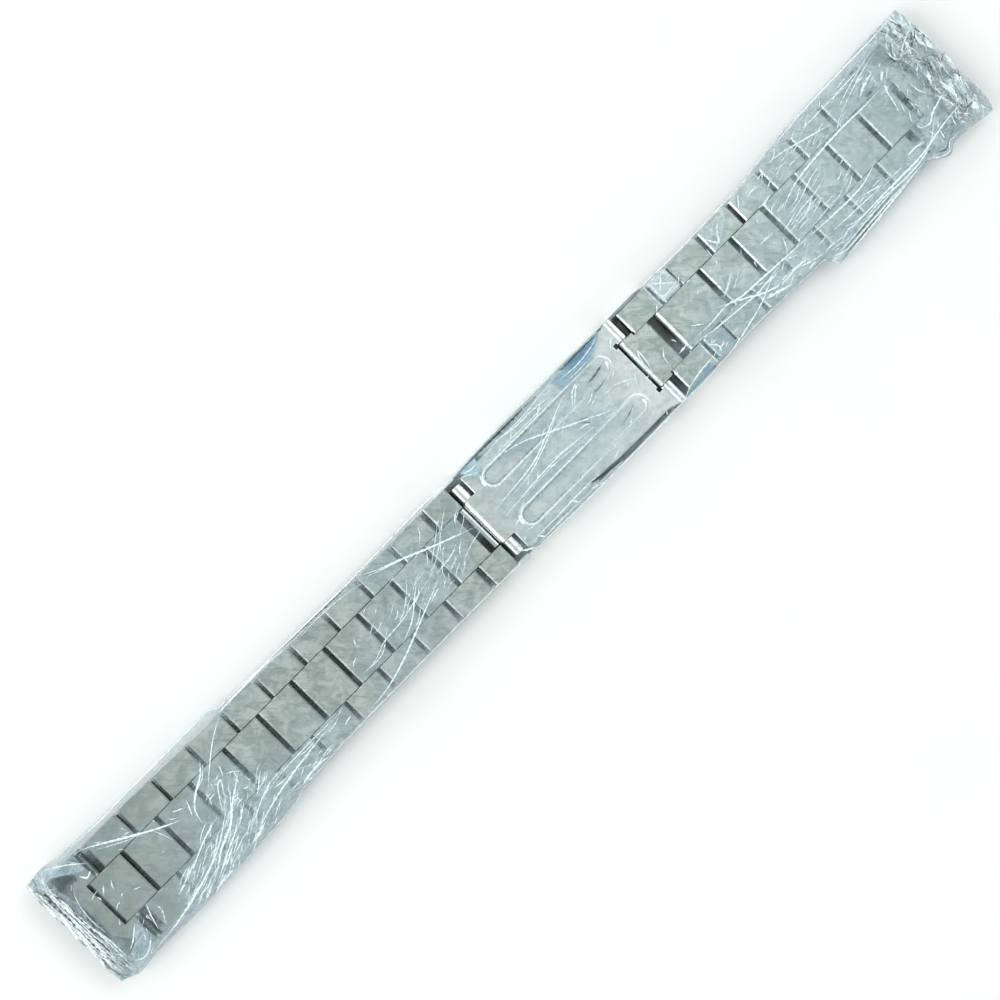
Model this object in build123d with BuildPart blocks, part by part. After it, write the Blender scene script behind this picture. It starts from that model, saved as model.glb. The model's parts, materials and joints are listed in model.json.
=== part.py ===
from build123d import *
import os

# A three-row steel link bracelet for a watch, laid straight with its clasp folded shut.
# X runs along the bracelet, +Z is the side that lies on the skin, and the clasp cover's
# outer face is at Z = 0. The origin is the middle of the bracelet's footprint.

# Links
pitch = 7.2
link_thickness = 2.8
centre_width = 8.1
row_gap = 0.08
centre_gap = 0.72
side_gap = 0.6
lug_width = 18.0
clasp_end_width = 16.4
left_taper_offset = 33.5
left_taper = 46.0
right_taper = 66.0
skin_chamfer = 0.26
edge_chamfer = 0.12
outer_round = 0.7
side_bevel = 0.45
left_links = 10
right_links = 6

# Pins and their fits
pin_radius = 0.5
press_gap = 0.01
running_gap = 0.05
pin_recess = 0.12

# Clasp, in plan. Distances are from the hinge that holds the right half of the bracelet.
blade_reach = 35.2
lug_pin_offset = 4.8
tongue_pin_offset = 3.2
bridge_pin_offset = 7.3
short_side_pin_offset = 10.5
first_side_pin_offset = 14.3
tongue_reach = 1.3
tongue_width = 9.2
bridge_reach = 1.2
knuckle_end_round = 1.12
block_gap = 0.3
block_start = 1.8
short_side_length = 3.5

# Clasp, in height
cover_sheet = 0.65
fold_gap = 0.1
blade_sheet = 0.6
chain_lift = 1.5
cover_hinge_radius = 0.7
cover_pin_radius = 0.35
fold_hinge_radius = 1.15
blade_height = 3.1
chain_hinge_radius = 1.04
wall_height = 3.0
low_wall_height = 1.35

# Clasp cover
cover_width = 17.6
cover_wall = 0.55
cover_edge_round = 0.5
neck_overhang = 3.3
neck_width = 16.3
wall_start = 1.0
wall_slope_start = 2.0
wall_slope_end = 1.4
wall_end_round = 0.6

# Solid lugs inside the cover's left end, and its catch
lug_clearance = 0.25
lug_reach = 1.36
catch_width = 7.8
catch_sheet = 0.42
catch_height = 2.45
catch_lip = 0.85
catch_gap = 0.12

# Folding blades
hinge_width = 14.3
hinge_centre_width = 8.6
knuckle_gap = 0.06
slot_depth = 0.42
arm_reach = 3.4
blade_half_narrow = 7.5
blade_half_wide = 8.3
flare_start = 15.8
flare_length = 7.7
notch_half_width = 4.75
notch_clearance = 0.3
relief_size = 0.4
ear_half_width = 8.7
hinge_relief = 0.28
rib_width = 3.0
rib_depth = 0.3

# Stamped oval rings in the visible blade
ring_start = 3.5
ring_length = 27.8
ring_width = 3.9
ring_bead = 0.75
ring_offset = 4.2
ring_height = 0.33
ring_edge = 0.14
ring_taper = 25

# End links
ear_radius = 1.1
end_gap_left = 0.45
end_gap_right = 0.95
case_radius = 20.0
case_apex = 4.35
horn_reach = 5.95
lip_thickness = 0.5
lip_reach = 5.1
lip_radius = 9.1
lip_corner = 1.2
bar_bore_radius = 0.8
bar_offset = 3.15
bar_drop = 0.2

overrun = 1.0

# Places worked out from the sizes above
half_pitch = pitch / 2
skin_z = chain_lift + link_thickness
pin_z = chain_lift + link_thickness / 2
centre_reach = (half_pitch - centre_gap) / 2
side_reach = (half_pitch - side_gap) / 2
left_end_offset = lug_pin_offset + (2 * left_links + 1) * half_pitch
right_end_offset = first_side_pin_offset + 2 * right_links * half_pitch
left_length = blade_reach + left_end_offset + horn_reach
right_length = right_end_offset + horn_reach + end_gap_right - end_gap_left
chain_hinge_x = (left_length - right_length) / 2
fold_hinge_x = chain_hinge_x - blade_reach
cover_hinge_x = chain_hinge_x + bridge_pin_offset
lug_pin_x = fold_hinge_x - lug_pin_offset
left_end_x = fold_hinge_x - left_end_offset
right_end_x = chain_hinge_x + right_end_offset
middle_blade_z = cover_sheet + fold_gap
fold_hinge_z = blade_height + blade_sheet - fold_hinge_radius
cover_hinge_z = cover_hinge_radius
row_edge = centre_width / 2

os.makedirs("parts", exist_ok=True)


def save(part, label):
    part.label = label
    export_step(part, f"parts/{label}.step")


def half_width(x):
    """Half the bracelet's width at x: straight beside the clasp, then smoothly wider to the end links."""
    if x < fold_hinge_x:
        share = (fold_hinge_x - left_taper_offset - x) / left_taper
    else:
        share = (x - chain_hinge_x) / right_taper
    share = min(max(share, 0), 1)
    eased_share = share * share * (3 - 2 * share)
    return (clasp_end_width + (lug_width - clasp_end_width) * eased_share) / 2


def ease_end(outline, first, end_round):
    """Rounds one end of a link's side view: both corners, or a round outside and a bevel inside."""
    if end_round:
        fillet(outline.vertices().group_by(Axis.X)[first], end_round)
    else:
        fillet(outline.vertices().group_by(Axis.Y)[0].sort_by(Axis.X)[first], outer_round)
        chamfer(outline.vertices().group_by(Axis.Y)[-1].sort_by(Axis.X)[first], skin_chamfer)


def draw_side_view(outline, x_start, x_end, start_round, end_round):
    with Locations(((x_start + x_end) / 2, pin_z)):
        Rectangle(x_end - x_start, link_thickness)
    ease_end(outline, 0, start_round)
    ease_end(outline, -1, end_round)


def draw_bores(bores):
    """Round holes, given as pairs of place and radius."""
    for x, radius in bores:
        with Locations((x, pin_z)):
            Circle(radius)


def centre_link(label, x_start, x_end, bores, start_round=0):
    with BuildPart() as link:
        with BuildSketch(Plane.XZ) as outline:
            draw_side_view(outline, x_start, x_end, start_round, 0)
        extrude(amount=centre_width / 2, both=True)
        chamfer(link.faces().sort_by(Axis.Z)[-1].edges().filter_by(Axis.X), edge_chamfer)
        with BuildSketch(Plane.XZ):
            draw_bores(bores)
        extrude(amount=lug_width, both=True, mode=Mode.SUBTRACT)
    save(link.part, label)


def side_links(label, x_start, x_end, pins, end_round=0):
    """The two side links of one row, made one by the pins that are pressed into them and ground flush."""
    span = ((x_start, row_edge + row_gap), (x_end, row_edge + row_gap))
    slope = ((x_end, half_width(x_end)), (x_start, half_width(x_start)))
    with BuildPart() as links:
        with BuildSketch(Plane.XZ) as outline:
            draw_side_view(outline, x_start, x_end, 0, end_round)
        extrude(amount=-lug_width)
        with BuildSketch(Plane.XY.offset(chain_lift)):
            Polygon(*span, *slope, align=None)
        extrude(amount=link_thickness, mode=Mode.INTERSECT)
        if not end_round:
            chamfer(links.faces().sort_by(Axis.Z)[0].edges().sort_by(Axis.Y)[-1], side_bevel)
            top_edges = links.faces().sort_by(Axis.Z)[-1].edges().sort_by(Axis.Y)
            chamfer((top_edges[0], top_edges[-1]), edge_chamfer)
        mirror(about=Plane.XZ)
        with BuildSketch(Plane.XZ):
            with Locations([(x, pin_z) for x in pins]):
                Circle(pin_radius)
        extrude(amount=row_edge + row_gap, both=True)
    save(links.part, label)


def regular_link(side, number, first_x, outward):
    """One repeat of the bracelet, numbered from the clasp: side links first, then the centre link."""
    run_x = first_x + outward * (number - 1) * pitch
    fixed_x = run_x + outward * half_pitch
    next_x = run_x + outward * pitch
    sides = sorted((run_x - outward * side_reach, fixed_x + outward * side_reach))
    centre = sorted((fixed_x - outward * centre_reach, next_x + outward * centre_reach))
    bores = ((fixed_x, pin_radius + press_gap), (next_x, pin_radius + running_gap))
    side_links(f"side_links_{side}_{number:02d}", *sides, (run_x, fixed_x))
    centre_link(f"centre_link_{side}_{number:02d}", *centre, bores)


for number in range(1, left_links + 1):
    regular_link("left", number, lug_pin_x - half_pitch, -1)
for number in range(1, right_links + 1):
    regular_link("right", number, chain_hinge_x + first_side_pin_offset, 1)

# The last centre link on the left turns on both its pins.
centre_link(
    "centre_link_clasp",
    lug_pin_x - half_pitch - centre_reach,
    lug_pin_x + centre_reach,
    [(x, pin_radius + running_gap) for x in (lug_pin_x, lug_pin_x - half_pitch)],
)

# The first link on the right: a wide tongue in the blade's notch, between two long side blocks.
tongue_pin_x = chain_hinge_x + tongue_pin_offset
bridge_pin_x = chain_hinge_x + bridge_pin_offset
short_pin_x = chain_hinge_x + short_side_pin_offset
first_side_x = chain_hinge_x + first_side_pin_offset
block_end_x = bridge_pin_x + bridge_reach
waist_x = chain_hinge_x + block_start - side_gap / 2
with BuildPart() as tongue:
    with BuildSketch(Plane.XZ) as tongue_outline:
        draw_side_view(
            tongue_outline,
            chain_hinge_x - tongue_reach,
            tongue_pin_x + tongue_reach,
            knuckle_end_round,
            0,
        )
    extrude(amount=tongue_width / 2, both=True)
    with BuildSketch(Plane.XY.offset(chain_lift)):
        with Locations((waist_x, 0)):
            Rectangle(pitch, lug_width, align=(Align.MIN, Align.CENTER))
            Rectangle(pitch, centre_width, align=(Align.MIN, Align.CENTER), mode=Mode.SUBTRACT)
    extrude(amount=link_thickness, mode=Mode.SUBTRACT)
    with BuildSketch(Plane.XZ):
        draw_bores(((chain_hinge_x, pin_radius + running_gap), (tongue_pin_x, pin_radius + press_gap)))
    extrude(amount=lug_width, both=True, mode=Mode.SUBTRACT)
save(tongue.part, "tongue_link")
side_links(
    "tongue_side_blocks",
    chain_hinge_x + block_start,
    block_end_x,
    (tongue_pin_x, bridge_pin_x),
    outer_round,
)

# The long centre link with its short side links bridges from the clasp to the regular rows.
centre_link(
    "bridge_link",
    bridge_pin_x - bridge_reach,
    first_side_x + centre_reach,
    (
        (bridge_pin_x, pin_radius + running_gap),
        (short_pin_x, pin_radius + press_gap),
        (first_side_x, pin_radius + running_gap),
    ),
    knuckle_end_round,
)
side_links(
    "bridge_side_links",
    block_end_x + block_gap,
    block_end_x + block_gap + short_side_length,
    (short_pin_x,),
)

# The clasp cover: a folded sheet with a low wall past the fold, a high one beside the blades.
wall_left_x = fold_hinge_x + wall_start
neck_left_x = fold_hinge_x - neck_overhang
cover_right_x = cover_hinge_x + cover_hinge_radius
plate_length = cover_hinge_x - wall_left_x
hinge_slot = hinge_centre_width / 2 + knuckle_gap
with BuildPart() as cover:
    with BuildSketch():
        with Locations(((wall_left_x + cover_hinge_x) / 2, 0)):
            Rectangle(plate_length, cover_width)
        with Locations(((neck_left_x + wall_left_x) / 2, 0)):
            Rectangle(wall_left_x - neck_left_x, neck_width)
    extrude(amount=cover_sheet)
    with BuildSketch(Plane.XZ):
        with BuildLine():
            Polyline(
                (wall_left_x, 0),
                (wall_left_x, wall_height - wall_end_round),
                (wall_left_x + wall_end_round, wall_height),
                (chain_hinge_x - wall_slope_start, wall_height),
                (chain_hinge_x - wall_slope_end, low_wall_height),
                (cover_right_x, low_wall_height),
                (cover_right_x, 0),
                close=True,
            )
        make_face()
    extrude(amount=cover_width / 2, both=True)
    with BuildSketch(Plane.XY.offset(cover_sheet)):
        with Locations(((wall_left_x + cover_right_x) / 2, 0)):
            Rectangle(cover_right_x - wall_left_x + overrun, cover_width - 2 * cover_wall)
    extrude(amount=wall_height, mode=Mode.SUBTRACT)
    fillet(cover.faces().sort_by(Axis.Z)[0].edges().filter_by(Axis.X).group_by(Axis.Y)[0], cover_edge_round)
    fillet(cover.faces().sort_by(Axis.Z)[0].edges().filter_by(Axis.X).group_by(Axis.Y)[-1], cover_edge_round)
    # Room for the hinge, then its two outer knuckles
    with BuildSketch():
        with Locations((cover_right_x, 0)):
            Rectangle(
                2 * (cover_right_x - cover_hinge_x + cover_hinge_radius + fold_gap),
                cover_width - 2 * cover_wall,
            )
    extrude(amount=cover_sheet, mode=Mode.SUBTRACT)
    with BuildSketch(Plane.XZ):
        with Locations((cover_hinge_x, cover_hinge_z)):
            Circle(cover_hinge_radius)
        with Locations((cover_hinge_x - cover_hinge_radius, cover_sheet / 2)):
            Rectangle(2 * cover_hinge_radius, cover_sheet)
        with Locations((cover_hinge_x, cover_hinge_z)):
            Circle(cover_pin_radius + press_gap, mode=Mode.SUBTRACT)
    extrude(amount=cover_width / 2 - cover_wall, both=True)
    with BuildSketch(Plane.XZ):
        with Locations((cover_hinge_x, cover_hinge_z)):
            Circle(cover_hinge_radius + fold_gap)
    extrude(amount=hinge_slot, both=True, mode=Mode.SUBTRACT)
save(cover.part, "clasp_cover")


def pin(label, x, z, radius, half_length):
    with BuildPart() as rod:
        with BuildSketch(Plane.XZ):
            with Locations((x, z)):
                Circle(radius)
        extrude(amount=half_length, both=True)
        chamfer(rod.edges().filter_by(GeomType.CIRCLE), pin_recess)
    save(rod.part, label)


# Two solid lugs stand on the cover's neck and hold the left half's last pin.
lug_right_x = fold_hinge_x - fold_hinge_radius - lug_clearance
lug_left_x = lug_pin_x - lug_reach
with BuildPart() as lugs:
    with BuildSketch(Plane.XZ) as lug_outline:
        Polygon(
            (lug_left_x, chain_lift),
            (neck_left_x, chain_lift),
            (neck_left_x, cover_sheet),
            (lug_right_x, cover_sheet),
            (lug_right_x, skin_z),
            (lug_left_x, skin_z),
            align=None,
        )
        fillet(lug_outline.vertices().group_by(Axis.X)[0].sort_by(Axis.Y)[0], outer_round)
        chamfer(lug_outline.vertices().group_by(Axis.Y)[-1], skin_chamfer)
        with Locations((lug_pin_x, pin_z)):
            Circle(pin_radius + press_gap, mode=Mode.SUBTRACT)
    extrude(amount=-neck_width / 2)
    with BuildSketch(Plane.XY.offset(cover_sheet)):
        with Locations((lug_pin_x, 0)):
            Rectangle(pitch, centre_width + 2 * row_gap)
    extrude(amount=skin_z, mode=Mode.SUBTRACT)
    mirror(about=Plane.XZ)
save(lugs.part, "cover_lugs")
pin("lug_pin", lug_pin_x, pin_z, pin_radius, neck_width / 2 - pin_recess)

# The spring catch: a foot on the cover's neck and a lip that stands beside the fold hinge.
catch_right_x = fold_hinge_x - fold_hinge_radius - catch_gap
with BuildPart() as catch:
    with BuildSketch(Plane.XZ) as catch_outline:
        with BuildLine():
            Polyline(
                (catch_right_x - catch_lip, cover_sheet),
                (catch_right_x, cover_sheet),
                (catch_right_x, cover_sheet + catch_height),
                (catch_right_x - catch_lip, cover_sheet + catch_height),
                (catch_right_x - catch_lip, cover_sheet + catch_height - catch_sheet),
                (catch_right_x - catch_sheet, cover_sheet + catch_height - catch_sheet),
                (catch_right_x - catch_sheet, cover_sheet + catch_sheet),
                (catch_right_x - catch_lip, cover_sheet + catch_sheet),
                close=True,
            )
        make_face()
        fillet(catch_outline.vertices().group_by(Axis.X)[-1].sort_by(Axis.Y)[-1], catch_sheet)
    extrude(amount=catch_width / 2, both=True)
save(catch.part, "catch_spring")

# The middle blade: a flat plate with one wide knuckle at the cover and two raised ones at the fold.
blade_left_x = fold_hinge_x + arm_reach
blade_right_x = cover_hinge_x - cover_hinge_radius - hinge_relief
with BuildPart() as middle_blade:
    with BuildSketch(Plane.XY.offset(middle_blade_z)) as middle_plate:
        with Locations(((blade_left_x + blade_right_x) / 2, 0)):
            Rectangle(blade_right_x - blade_left_x, hinge_width)
    extrude(amount=blade_sheet)
    with BuildSketch(Plane.XZ):
        with Locations((cover_hinge_x, cover_hinge_z)):
            Circle(cover_hinge_radius)
        with Locations((cover_hinge_x, middle_blade_z)):
            Rectangle(
                cover_hinge_x - blade_right_x + hinge_relief,
                blade_sheet,
                align=(Align.MAX, Align.MIN),
            )
        with Locations((cover_hinge_x, cover_hinge_z)):
            Circle(cover_pin_radius + running_gap, mode=Mode.SUBTRACT)
    extrude(amount=hinge_centre_width / 2, both=True)
    with BuildSketch(Plane.XZ):
        Polygon(
            (blade_left_x + blade_sheet, middle_blade_z),
            (blade_left_x + blade_sheet, middle_blade_z + blade_sheet),
            (blade_left_x, middle_blade_z + blade_sheet),
            (fold_hinge_x + fold_hinge_radius, fold_hinge_z),
            (fold_hinge_x, fold_hinge_z),
            (fold_hinge_x, fold_hinge_z - fold_hinge_radius),
            (fold_hinge_x + fold_hinge_radius, middle_blade_z),
            align=None,
        )
        with Locations((fold_hinge_x, fold_hinge_z)):
            Circle(fold_hinge_radius)
            Circle(pin_radius + press_gap, mode=Mode.SUBTRACT)
    extrude(amount=hinge_width / 2, both=True)
    with BuildSketch(Plane.XY.offset(middle_blade_z)):
        with Locations((blade_left_x, 0)):
            Rectangle(2 * arm_reach, hinge_centre_width + 2 * knuckle_gap, align=(Align.MAX, Align.CENTER))
    extrude(amount=skin_z, mode=Mode.SUBTRACT)
    with BuildSketch(Plane.XY.offset(middle_blade_z + blade_sheet)):
        with Locations(((blade_left_x + blade_right_x) / 2, 0)):
            SlotOverall(blade_right_x - blade_left_x - 2 * arm_reach, rib_width)
    extrude(amount=-rib_depth, mode=Mode.SUBTRACT)
save(middle_blade.part, "middle_blade")
pin("cover_hinge_pin", cover_hinge_x, cover_hinge_z, cover_pin_radius, cover_width / 2 - cover_wall)
pin("fold_hinge_pin", fold_hinge_x, fold_hinge_z, pin_radius, hinge_width / 2)

# The visible inner blade: a stamped plate that widens over the cover's walls.
plate_left_x = fold_hinge_x + fold_hinge_radius + slot_depth
notch_x = chain_hinge_x - tongue_reach - notch_clearance
flare_x = fold_hinge_x + flare_start
flare_end_x = flare_x + flare_length
with BuildPart() as inner_blade:
    with BuildSketch(Plane.XY.offset(blade_height)) as plate:
        with BuildLine() as upper_edge:
            Line((plate_left_x, 0), (plate_left_x, blade_half_narrow))
            Line((plate_left_x, blade_half_narrow), (flare_x, blade_half_narrow))
            Spline(
                (flare_x, blade_half_narrow),
                (flare_end_x, blade_half_wide),
                tangents=((1, 0), (1, 0)),
            )
            Polyline(
                (flare_end_x, blade_half_wide),
                (notch_x, blade_half_wide),
                (chain_hinge_x, ear_half_width),
                (chain_hinge_x, 0),
                (plate_left_x, 0),
            )
        make_face()
        mirror(about=Plane.XZ)
        with Locations((notch_x, 0)):
            Rectangle(pitch, 2 * notch_half_width, align=(Align.MIN, Align.CENTER), mode=Mode.SUBTRACT)
        with Locations((notch_x, notch_half_width), (notch_x, -notch_half_width)):
            Rectangle(2 * relief_size, 2 * relief_size, mode=Mode.SUBTRACT)
    extrude(amount=blade_sheet)
    # The wide knuckle at the fold
    with BuildSketch(Plane.XZ):
        with Locations((fold_hinge_x, fold_hinge_z)):
            Circle(fold_hinge_radius)
        with Locations((fold_hinge_x, blade_height)):
            Rectangle(2 * fold_hinge_radius, blade_sheet, align=(Align.MIN, Align.MIN))
        with Locations((fold_hinge_x, fold_hinge_z)):
            Circle(pin_radius + running_gap, mode=Mode.SUBTRACT)
    extrude(amount=hinge_centre_width / 2, both=True)
    # The two ears that hold the right half of the bracelet
    with BuildSketch(Plane.XZ):
        with Locations((chain_hinge_x, pin_z)):
            Circle(chain_hinge_radius)
    extrude(amount=-ear_half_width)
    with BuildSketch(Plane.XZ):
        with Locations((chain_hinge_x, pin_z)):
            Circle(chain_hinge_radius)
    extrude(amount=ear_half_width)
    with BuildSketch(Plane.XY.offset(chain_lift)):
        with Locations((notch_x, 0)):
            Rectangle(pitch, 2 * notch_half_width, align=(Align.MIN, Align.CENTER))
    extrude(amount=link_thickness, mode=Mode.SUBTRACT)
    with BuildSketch(Plane.XZ):
        with Locations((chain_hinge_x, pin_z)):
            Circle(pin_radius + press_gap)
    extrude(amount=lug_width, both=True, mode=Mode.SUBTRACT)
    # Two stamped rings: a raised bead with its groove behind
    ring_x = fold_hinge_x + ring_start + ring_length / 2
    for side in (ring_offset, -ring_offset):
        with BuildSketch(Plane.XY.offset(blade_height + blade_sheet)):
            with Locations((ring_x, side)):
                SlotOverall(ring_length, ring_width)
                SlotOverall(ring_length - 2 * ring_bead, ring_width - 2 * ring_bead, mode=Mode.SUBTRACT)
        extrude(amount=ring_height, taper=ring_taper)
        with BuildSketch(Plane.XY.offset(blade_height)):
            with Locations((ring_x, side)):
                SlotOverall(ring_length - 2 * ring_edge, ring_width - 2 * ring_edge)
                SlotOverall(
                    ring_length - 2 * (ring_bead - ring_edge),
                    ring_width - 2 * (ring_bead - ring_edge),
                    mode=Mode.SUBTRACT,
                )
        extrude(amount=ring_height, mode=Mode.SUBTRACT)
save(inner_blade.part, "inner_blade")
pin("chain_hinge_pin", chain_hinge_x, pin_z, pin_radius, ear_half_width - pin_recess)


def end_link(label, pin_x, outward, end_gap):
    """A solid end link: its case side is hollowed to a round watch case, with a lip on the skin side."""
    near = centre_reach + end_gap
    shift = end_gap - end_gap_left
    with BuildPart() as end:
        with BuildSketch(Plane.XY.offset(chain_lift)):
            Rectangle(horn_reach + shift, lug_width, align=(Align.MIN, Align.CENTER))
            with Locations((case_apex + shift + case_radius, 0)):
                Circle(case_radius, mode=Mode.SUBTRACT)
        extrude(amount=link_thickness - lip_thickness)
        with BuildSketch(Plane.XY.offset(skin_z - lip_thickness)):
            Rectangle(lip_corner + shift, lug_width, align=(Align.MIN, Align.CENTER))
            with Locations((lip_reach + shift - lip_radius, 0)):
                Circle(lip_radius)
            with Locations((0, 0)):
                Rectangle(2 * lip_radius, 2 * lip_radius, align=(Align.MAX, Align.CENTER), mode=Mode.SUBTRACT)
        extrude(amount=lip_thickness)
        with BuildSketch(Plane.XZ):
            with Locations((0, pin_z)):
                Circle(ear_radius)
        extrude(amount=lug_width / 2, both=True)
        with BuildSketch(Plane.XY.offset(chain_lift)):
            with Locations((near, 0)):
                Rectangle(pitch, centre_width + 2 * row_gap, align=(Align.MAX, Align.CENTER))
        extrude(amount=link_thickness, mode=Mode.SUBTRACT)
        with BuildSketch(Plane.XZ):
            with Locations((0, pin_z)):
                Circle(pin_radius + press_gap)
            with Locations((bar_offset + shift, pin_z - bar_drop)):
                Circle(bar_bore_radius)
        extrude(amount=lug_width, both=True, mode=Mode.SUBTRACT)
        with BuildSketch(Plane.XZ):
            with Locations((0, pin_z)):
                Circle(pin_radius)
        extrude(amount=lug_width / 2 - pin_recess, both=True)
    placed = end.part if outward > 0 else end.part.mirror(Plane.YZ)
    save(Pos(pin_x, 0, 0) * placed, label)


end_link("end_link_left", left_end_x, -1, end_gap_left)
end_link("end_link_right", right_end_x, 1, end_gap_right)
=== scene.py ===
import json
import math
import random

import bpy
from mathutils import Euler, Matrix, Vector

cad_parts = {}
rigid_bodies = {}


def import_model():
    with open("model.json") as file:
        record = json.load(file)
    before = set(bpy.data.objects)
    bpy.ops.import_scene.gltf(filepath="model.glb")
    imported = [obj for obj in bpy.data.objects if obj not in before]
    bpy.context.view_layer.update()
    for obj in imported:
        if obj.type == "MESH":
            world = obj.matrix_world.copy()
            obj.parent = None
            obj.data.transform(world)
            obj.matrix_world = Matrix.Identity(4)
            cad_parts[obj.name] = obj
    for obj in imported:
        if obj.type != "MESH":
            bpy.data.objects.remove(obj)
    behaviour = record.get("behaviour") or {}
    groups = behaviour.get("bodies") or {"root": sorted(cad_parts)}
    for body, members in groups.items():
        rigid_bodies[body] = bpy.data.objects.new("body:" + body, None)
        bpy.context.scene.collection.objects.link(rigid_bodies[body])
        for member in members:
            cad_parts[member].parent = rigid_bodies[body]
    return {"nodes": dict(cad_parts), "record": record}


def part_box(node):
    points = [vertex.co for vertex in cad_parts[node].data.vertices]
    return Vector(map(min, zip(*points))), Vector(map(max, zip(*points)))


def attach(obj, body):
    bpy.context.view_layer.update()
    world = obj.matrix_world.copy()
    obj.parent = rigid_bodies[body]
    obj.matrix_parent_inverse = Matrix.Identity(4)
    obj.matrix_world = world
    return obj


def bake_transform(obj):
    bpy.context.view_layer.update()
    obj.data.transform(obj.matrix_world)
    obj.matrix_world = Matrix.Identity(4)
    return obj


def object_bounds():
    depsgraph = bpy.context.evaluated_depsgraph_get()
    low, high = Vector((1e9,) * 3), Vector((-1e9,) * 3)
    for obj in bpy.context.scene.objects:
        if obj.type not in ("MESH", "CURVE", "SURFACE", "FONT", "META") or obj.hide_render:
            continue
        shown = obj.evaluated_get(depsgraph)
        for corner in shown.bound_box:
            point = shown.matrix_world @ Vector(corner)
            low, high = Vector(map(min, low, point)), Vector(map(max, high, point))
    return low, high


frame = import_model()
cad_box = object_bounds()
scene = bpy.context.scene
MM = 0.001


class Shader:
    """A material's node tree, built a node at a time."""

    def __init__(self, name):
        self.mat = bpy.data.materials.new(name)
        self.mat.use_nodes = True
        self.tree = self.mat.node_tree
        self.tree.nodes.clear()
        self.out = self.tree.nodes.new("ShaderNodeOutputMaterial")

    def node(self, kind, settings=None, **inputs):
        """A new node. An input's name is written with _ for each space."""
        n = self.tree.nodes.new("ShaderNode" + kind)
        for key, value in (settings or {}).items():
            setattr(n, key, value)
        for key, value in inputs.items():
            self.set(n, key.replace("_", " "), value)
        return n

    def set(self, n, key, value):
        """Gives an input, by its name or number, a value, a socket or a node's first output."""
        if isinstance(value, bpy.types.Node):
            value = value.outputs[0]
        if isinstance(value, bpy.types.NodeSocket):
            self.tree.links.new(value, n.inputs[key])
        else:
            n.inputs[key].default_value = value

    def math(self, operation, *values, clamp=False):
        """The result of an operation on one to three values."""
        n = self.node("Math", {"operation": operation, "use_clamp": clamp})
        for key, value in enumerate(values):
            self.set(n, key, value)
        return n.outputs[0]

    def mix(self, share, a, b, blend="MIX"):
        """Colour a turned into b as the share goes from 0 to 1."""
        n = self.node("Mix", {"data_type": "RGBA", "blend_type": blend})
        for key, value in ((0, share), (6, a), (7, b)):
            self.set(n, key, value)
        return n.outputs[2]

    def span(self, value, low, high, to_low=0.0, to_high=1.0):
        """A value between low and high, moved to between to_low and to_high."""
        ends = {"From_Min": low, "From_Max": high, "To_Min": to_low, "To_Max": to_high}
        return self.node("MapRange", {"clamp": True}, Value=value, **ends).outputs[0]

    def noise(self, where, scale, detail=2.0, roughness=0.5, stretch=None, distortion=0.0):
        """Noise with features of about 1/scale metres, which stretch makes longer along each axis."""
        if stretch:
            where = self.node("Mapping", Vector=where, Scale=[1 / times for times in stretch])
        inputs = {"Scale": scale, "Detail": detail, "Roughness": roughness, "Distortion": distortion}
        return self.node("TexNoise", Vector=where, **inputs).outputs[0]

    def parts(self, vector):
        """The x, y and z of a vector."""
        return self.node("SeparateXYZ", Vector=vector).outputs

    def finish(self, surface):
        self.set(self.out, "Surface", surface)
        return self.mat


# Steel. Sizes are in millimetres
link_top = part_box("side_links_left_05")[1][2] / MM
blade_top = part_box("inner_blade")[1][2] / MM
edge_radius = 0.14
# How far below the links' top the painted shade in their gaps starts
gap_shade_depth = 0.35
clasp_floor = 1.5
# Painted shade on the steel: darker towards both ends, and on the blade's ears where they turn down
painted_shade_left = (-88, -56)
painted_shade_right = (62, 84)
painted_shade_ears = 28.2
painted_shade_reach = 1.5
painted_shade_most = 0.6
smear_tint = (0.25, 0.31, 0.29, 1)
edge_wear_and_highlight_tint = (0.95, 0.97, 0.96, 1)
painted_shade_tint = (0.30, 0.36, 0.34, 1)
gap_shade_tint = (0.012, 0.020, 0.019, 1)


def edge_share(s, radius):
    """A normal that rounds sharp edges, and a value that is 1 on them and 0 on flat faces."""
    bevel = s.node("Bevel", {"samples": 6}, Radius=radius)
    dot = s.node("VectorMath", {"operation": "DOT_PRODUCT"})
    s.set(dot, 0, bevel)
    s.set(dot, 1, s.node("NewGeometry").outputs["Normal"])
    return bevel, s.span(s.math("SUBTRACT", 1.0, dot.outputs["Value"]), 0.02, 0.22)


def painted_shade_share(s, x, upward):
    """How much painted shade darkens the steel: towards both ends, and where the ears at the blade's right
    end turn down.
    """
    left = s.span(x, painted_shade_left[0] * MM, painted_shade_left[1] * MM, painted_shade_most, 0.0)
    right = s.span(x, painted_shade_right[0] * MM, painted_shade_right[1] * MM, 0.0, painted_shade_most)
    near_ears = s.math("COMPARE", x, painted_shade_ears * MM, painted_shade_reach * MM)
    turned = s.math("MULTIPLY", s.span(upward, 0.75, 0.97, 0.8, 0.0), near_ears)
    return s.math("ADD", s.math("ADD", left, right), turned, clamp=True)


def painted_gap_shade(s, place, facing, top):
    """Painted shade in the gaps between links: on what faces along the bracelet, and below top on what
    faces up.
    """
    ends = s.span(s.math("ABSOLUTE", facing[0]), 0.80, 0.95, 0.0, 0.97)
    deep = s.span(place[2], top - 0.4 * MM, top, 1.0, 0.0)
    not_sideways = s.span(s.math("ABSOLUTE", facing[1]), 0.4, 0.7, 1.0, 0.0)
    upward = s.span(facing[2], -0.5, -0.2)
    return s.math("MAXIMUM", ends, s.math("MULTIPLY", s.math("MULTIPLY", deep, not_sideways), upward))


def painted_floor_shade(s, place, facing, top):
    """Painted shade on a floor that lies below top."""
    deep = s.span(place[2], top - 0.2 * MM, top, 0.75, 0.0)
    return s.math("MULTIPLY", deep, s.span(facing[2], 0.3, 0.8))


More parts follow.
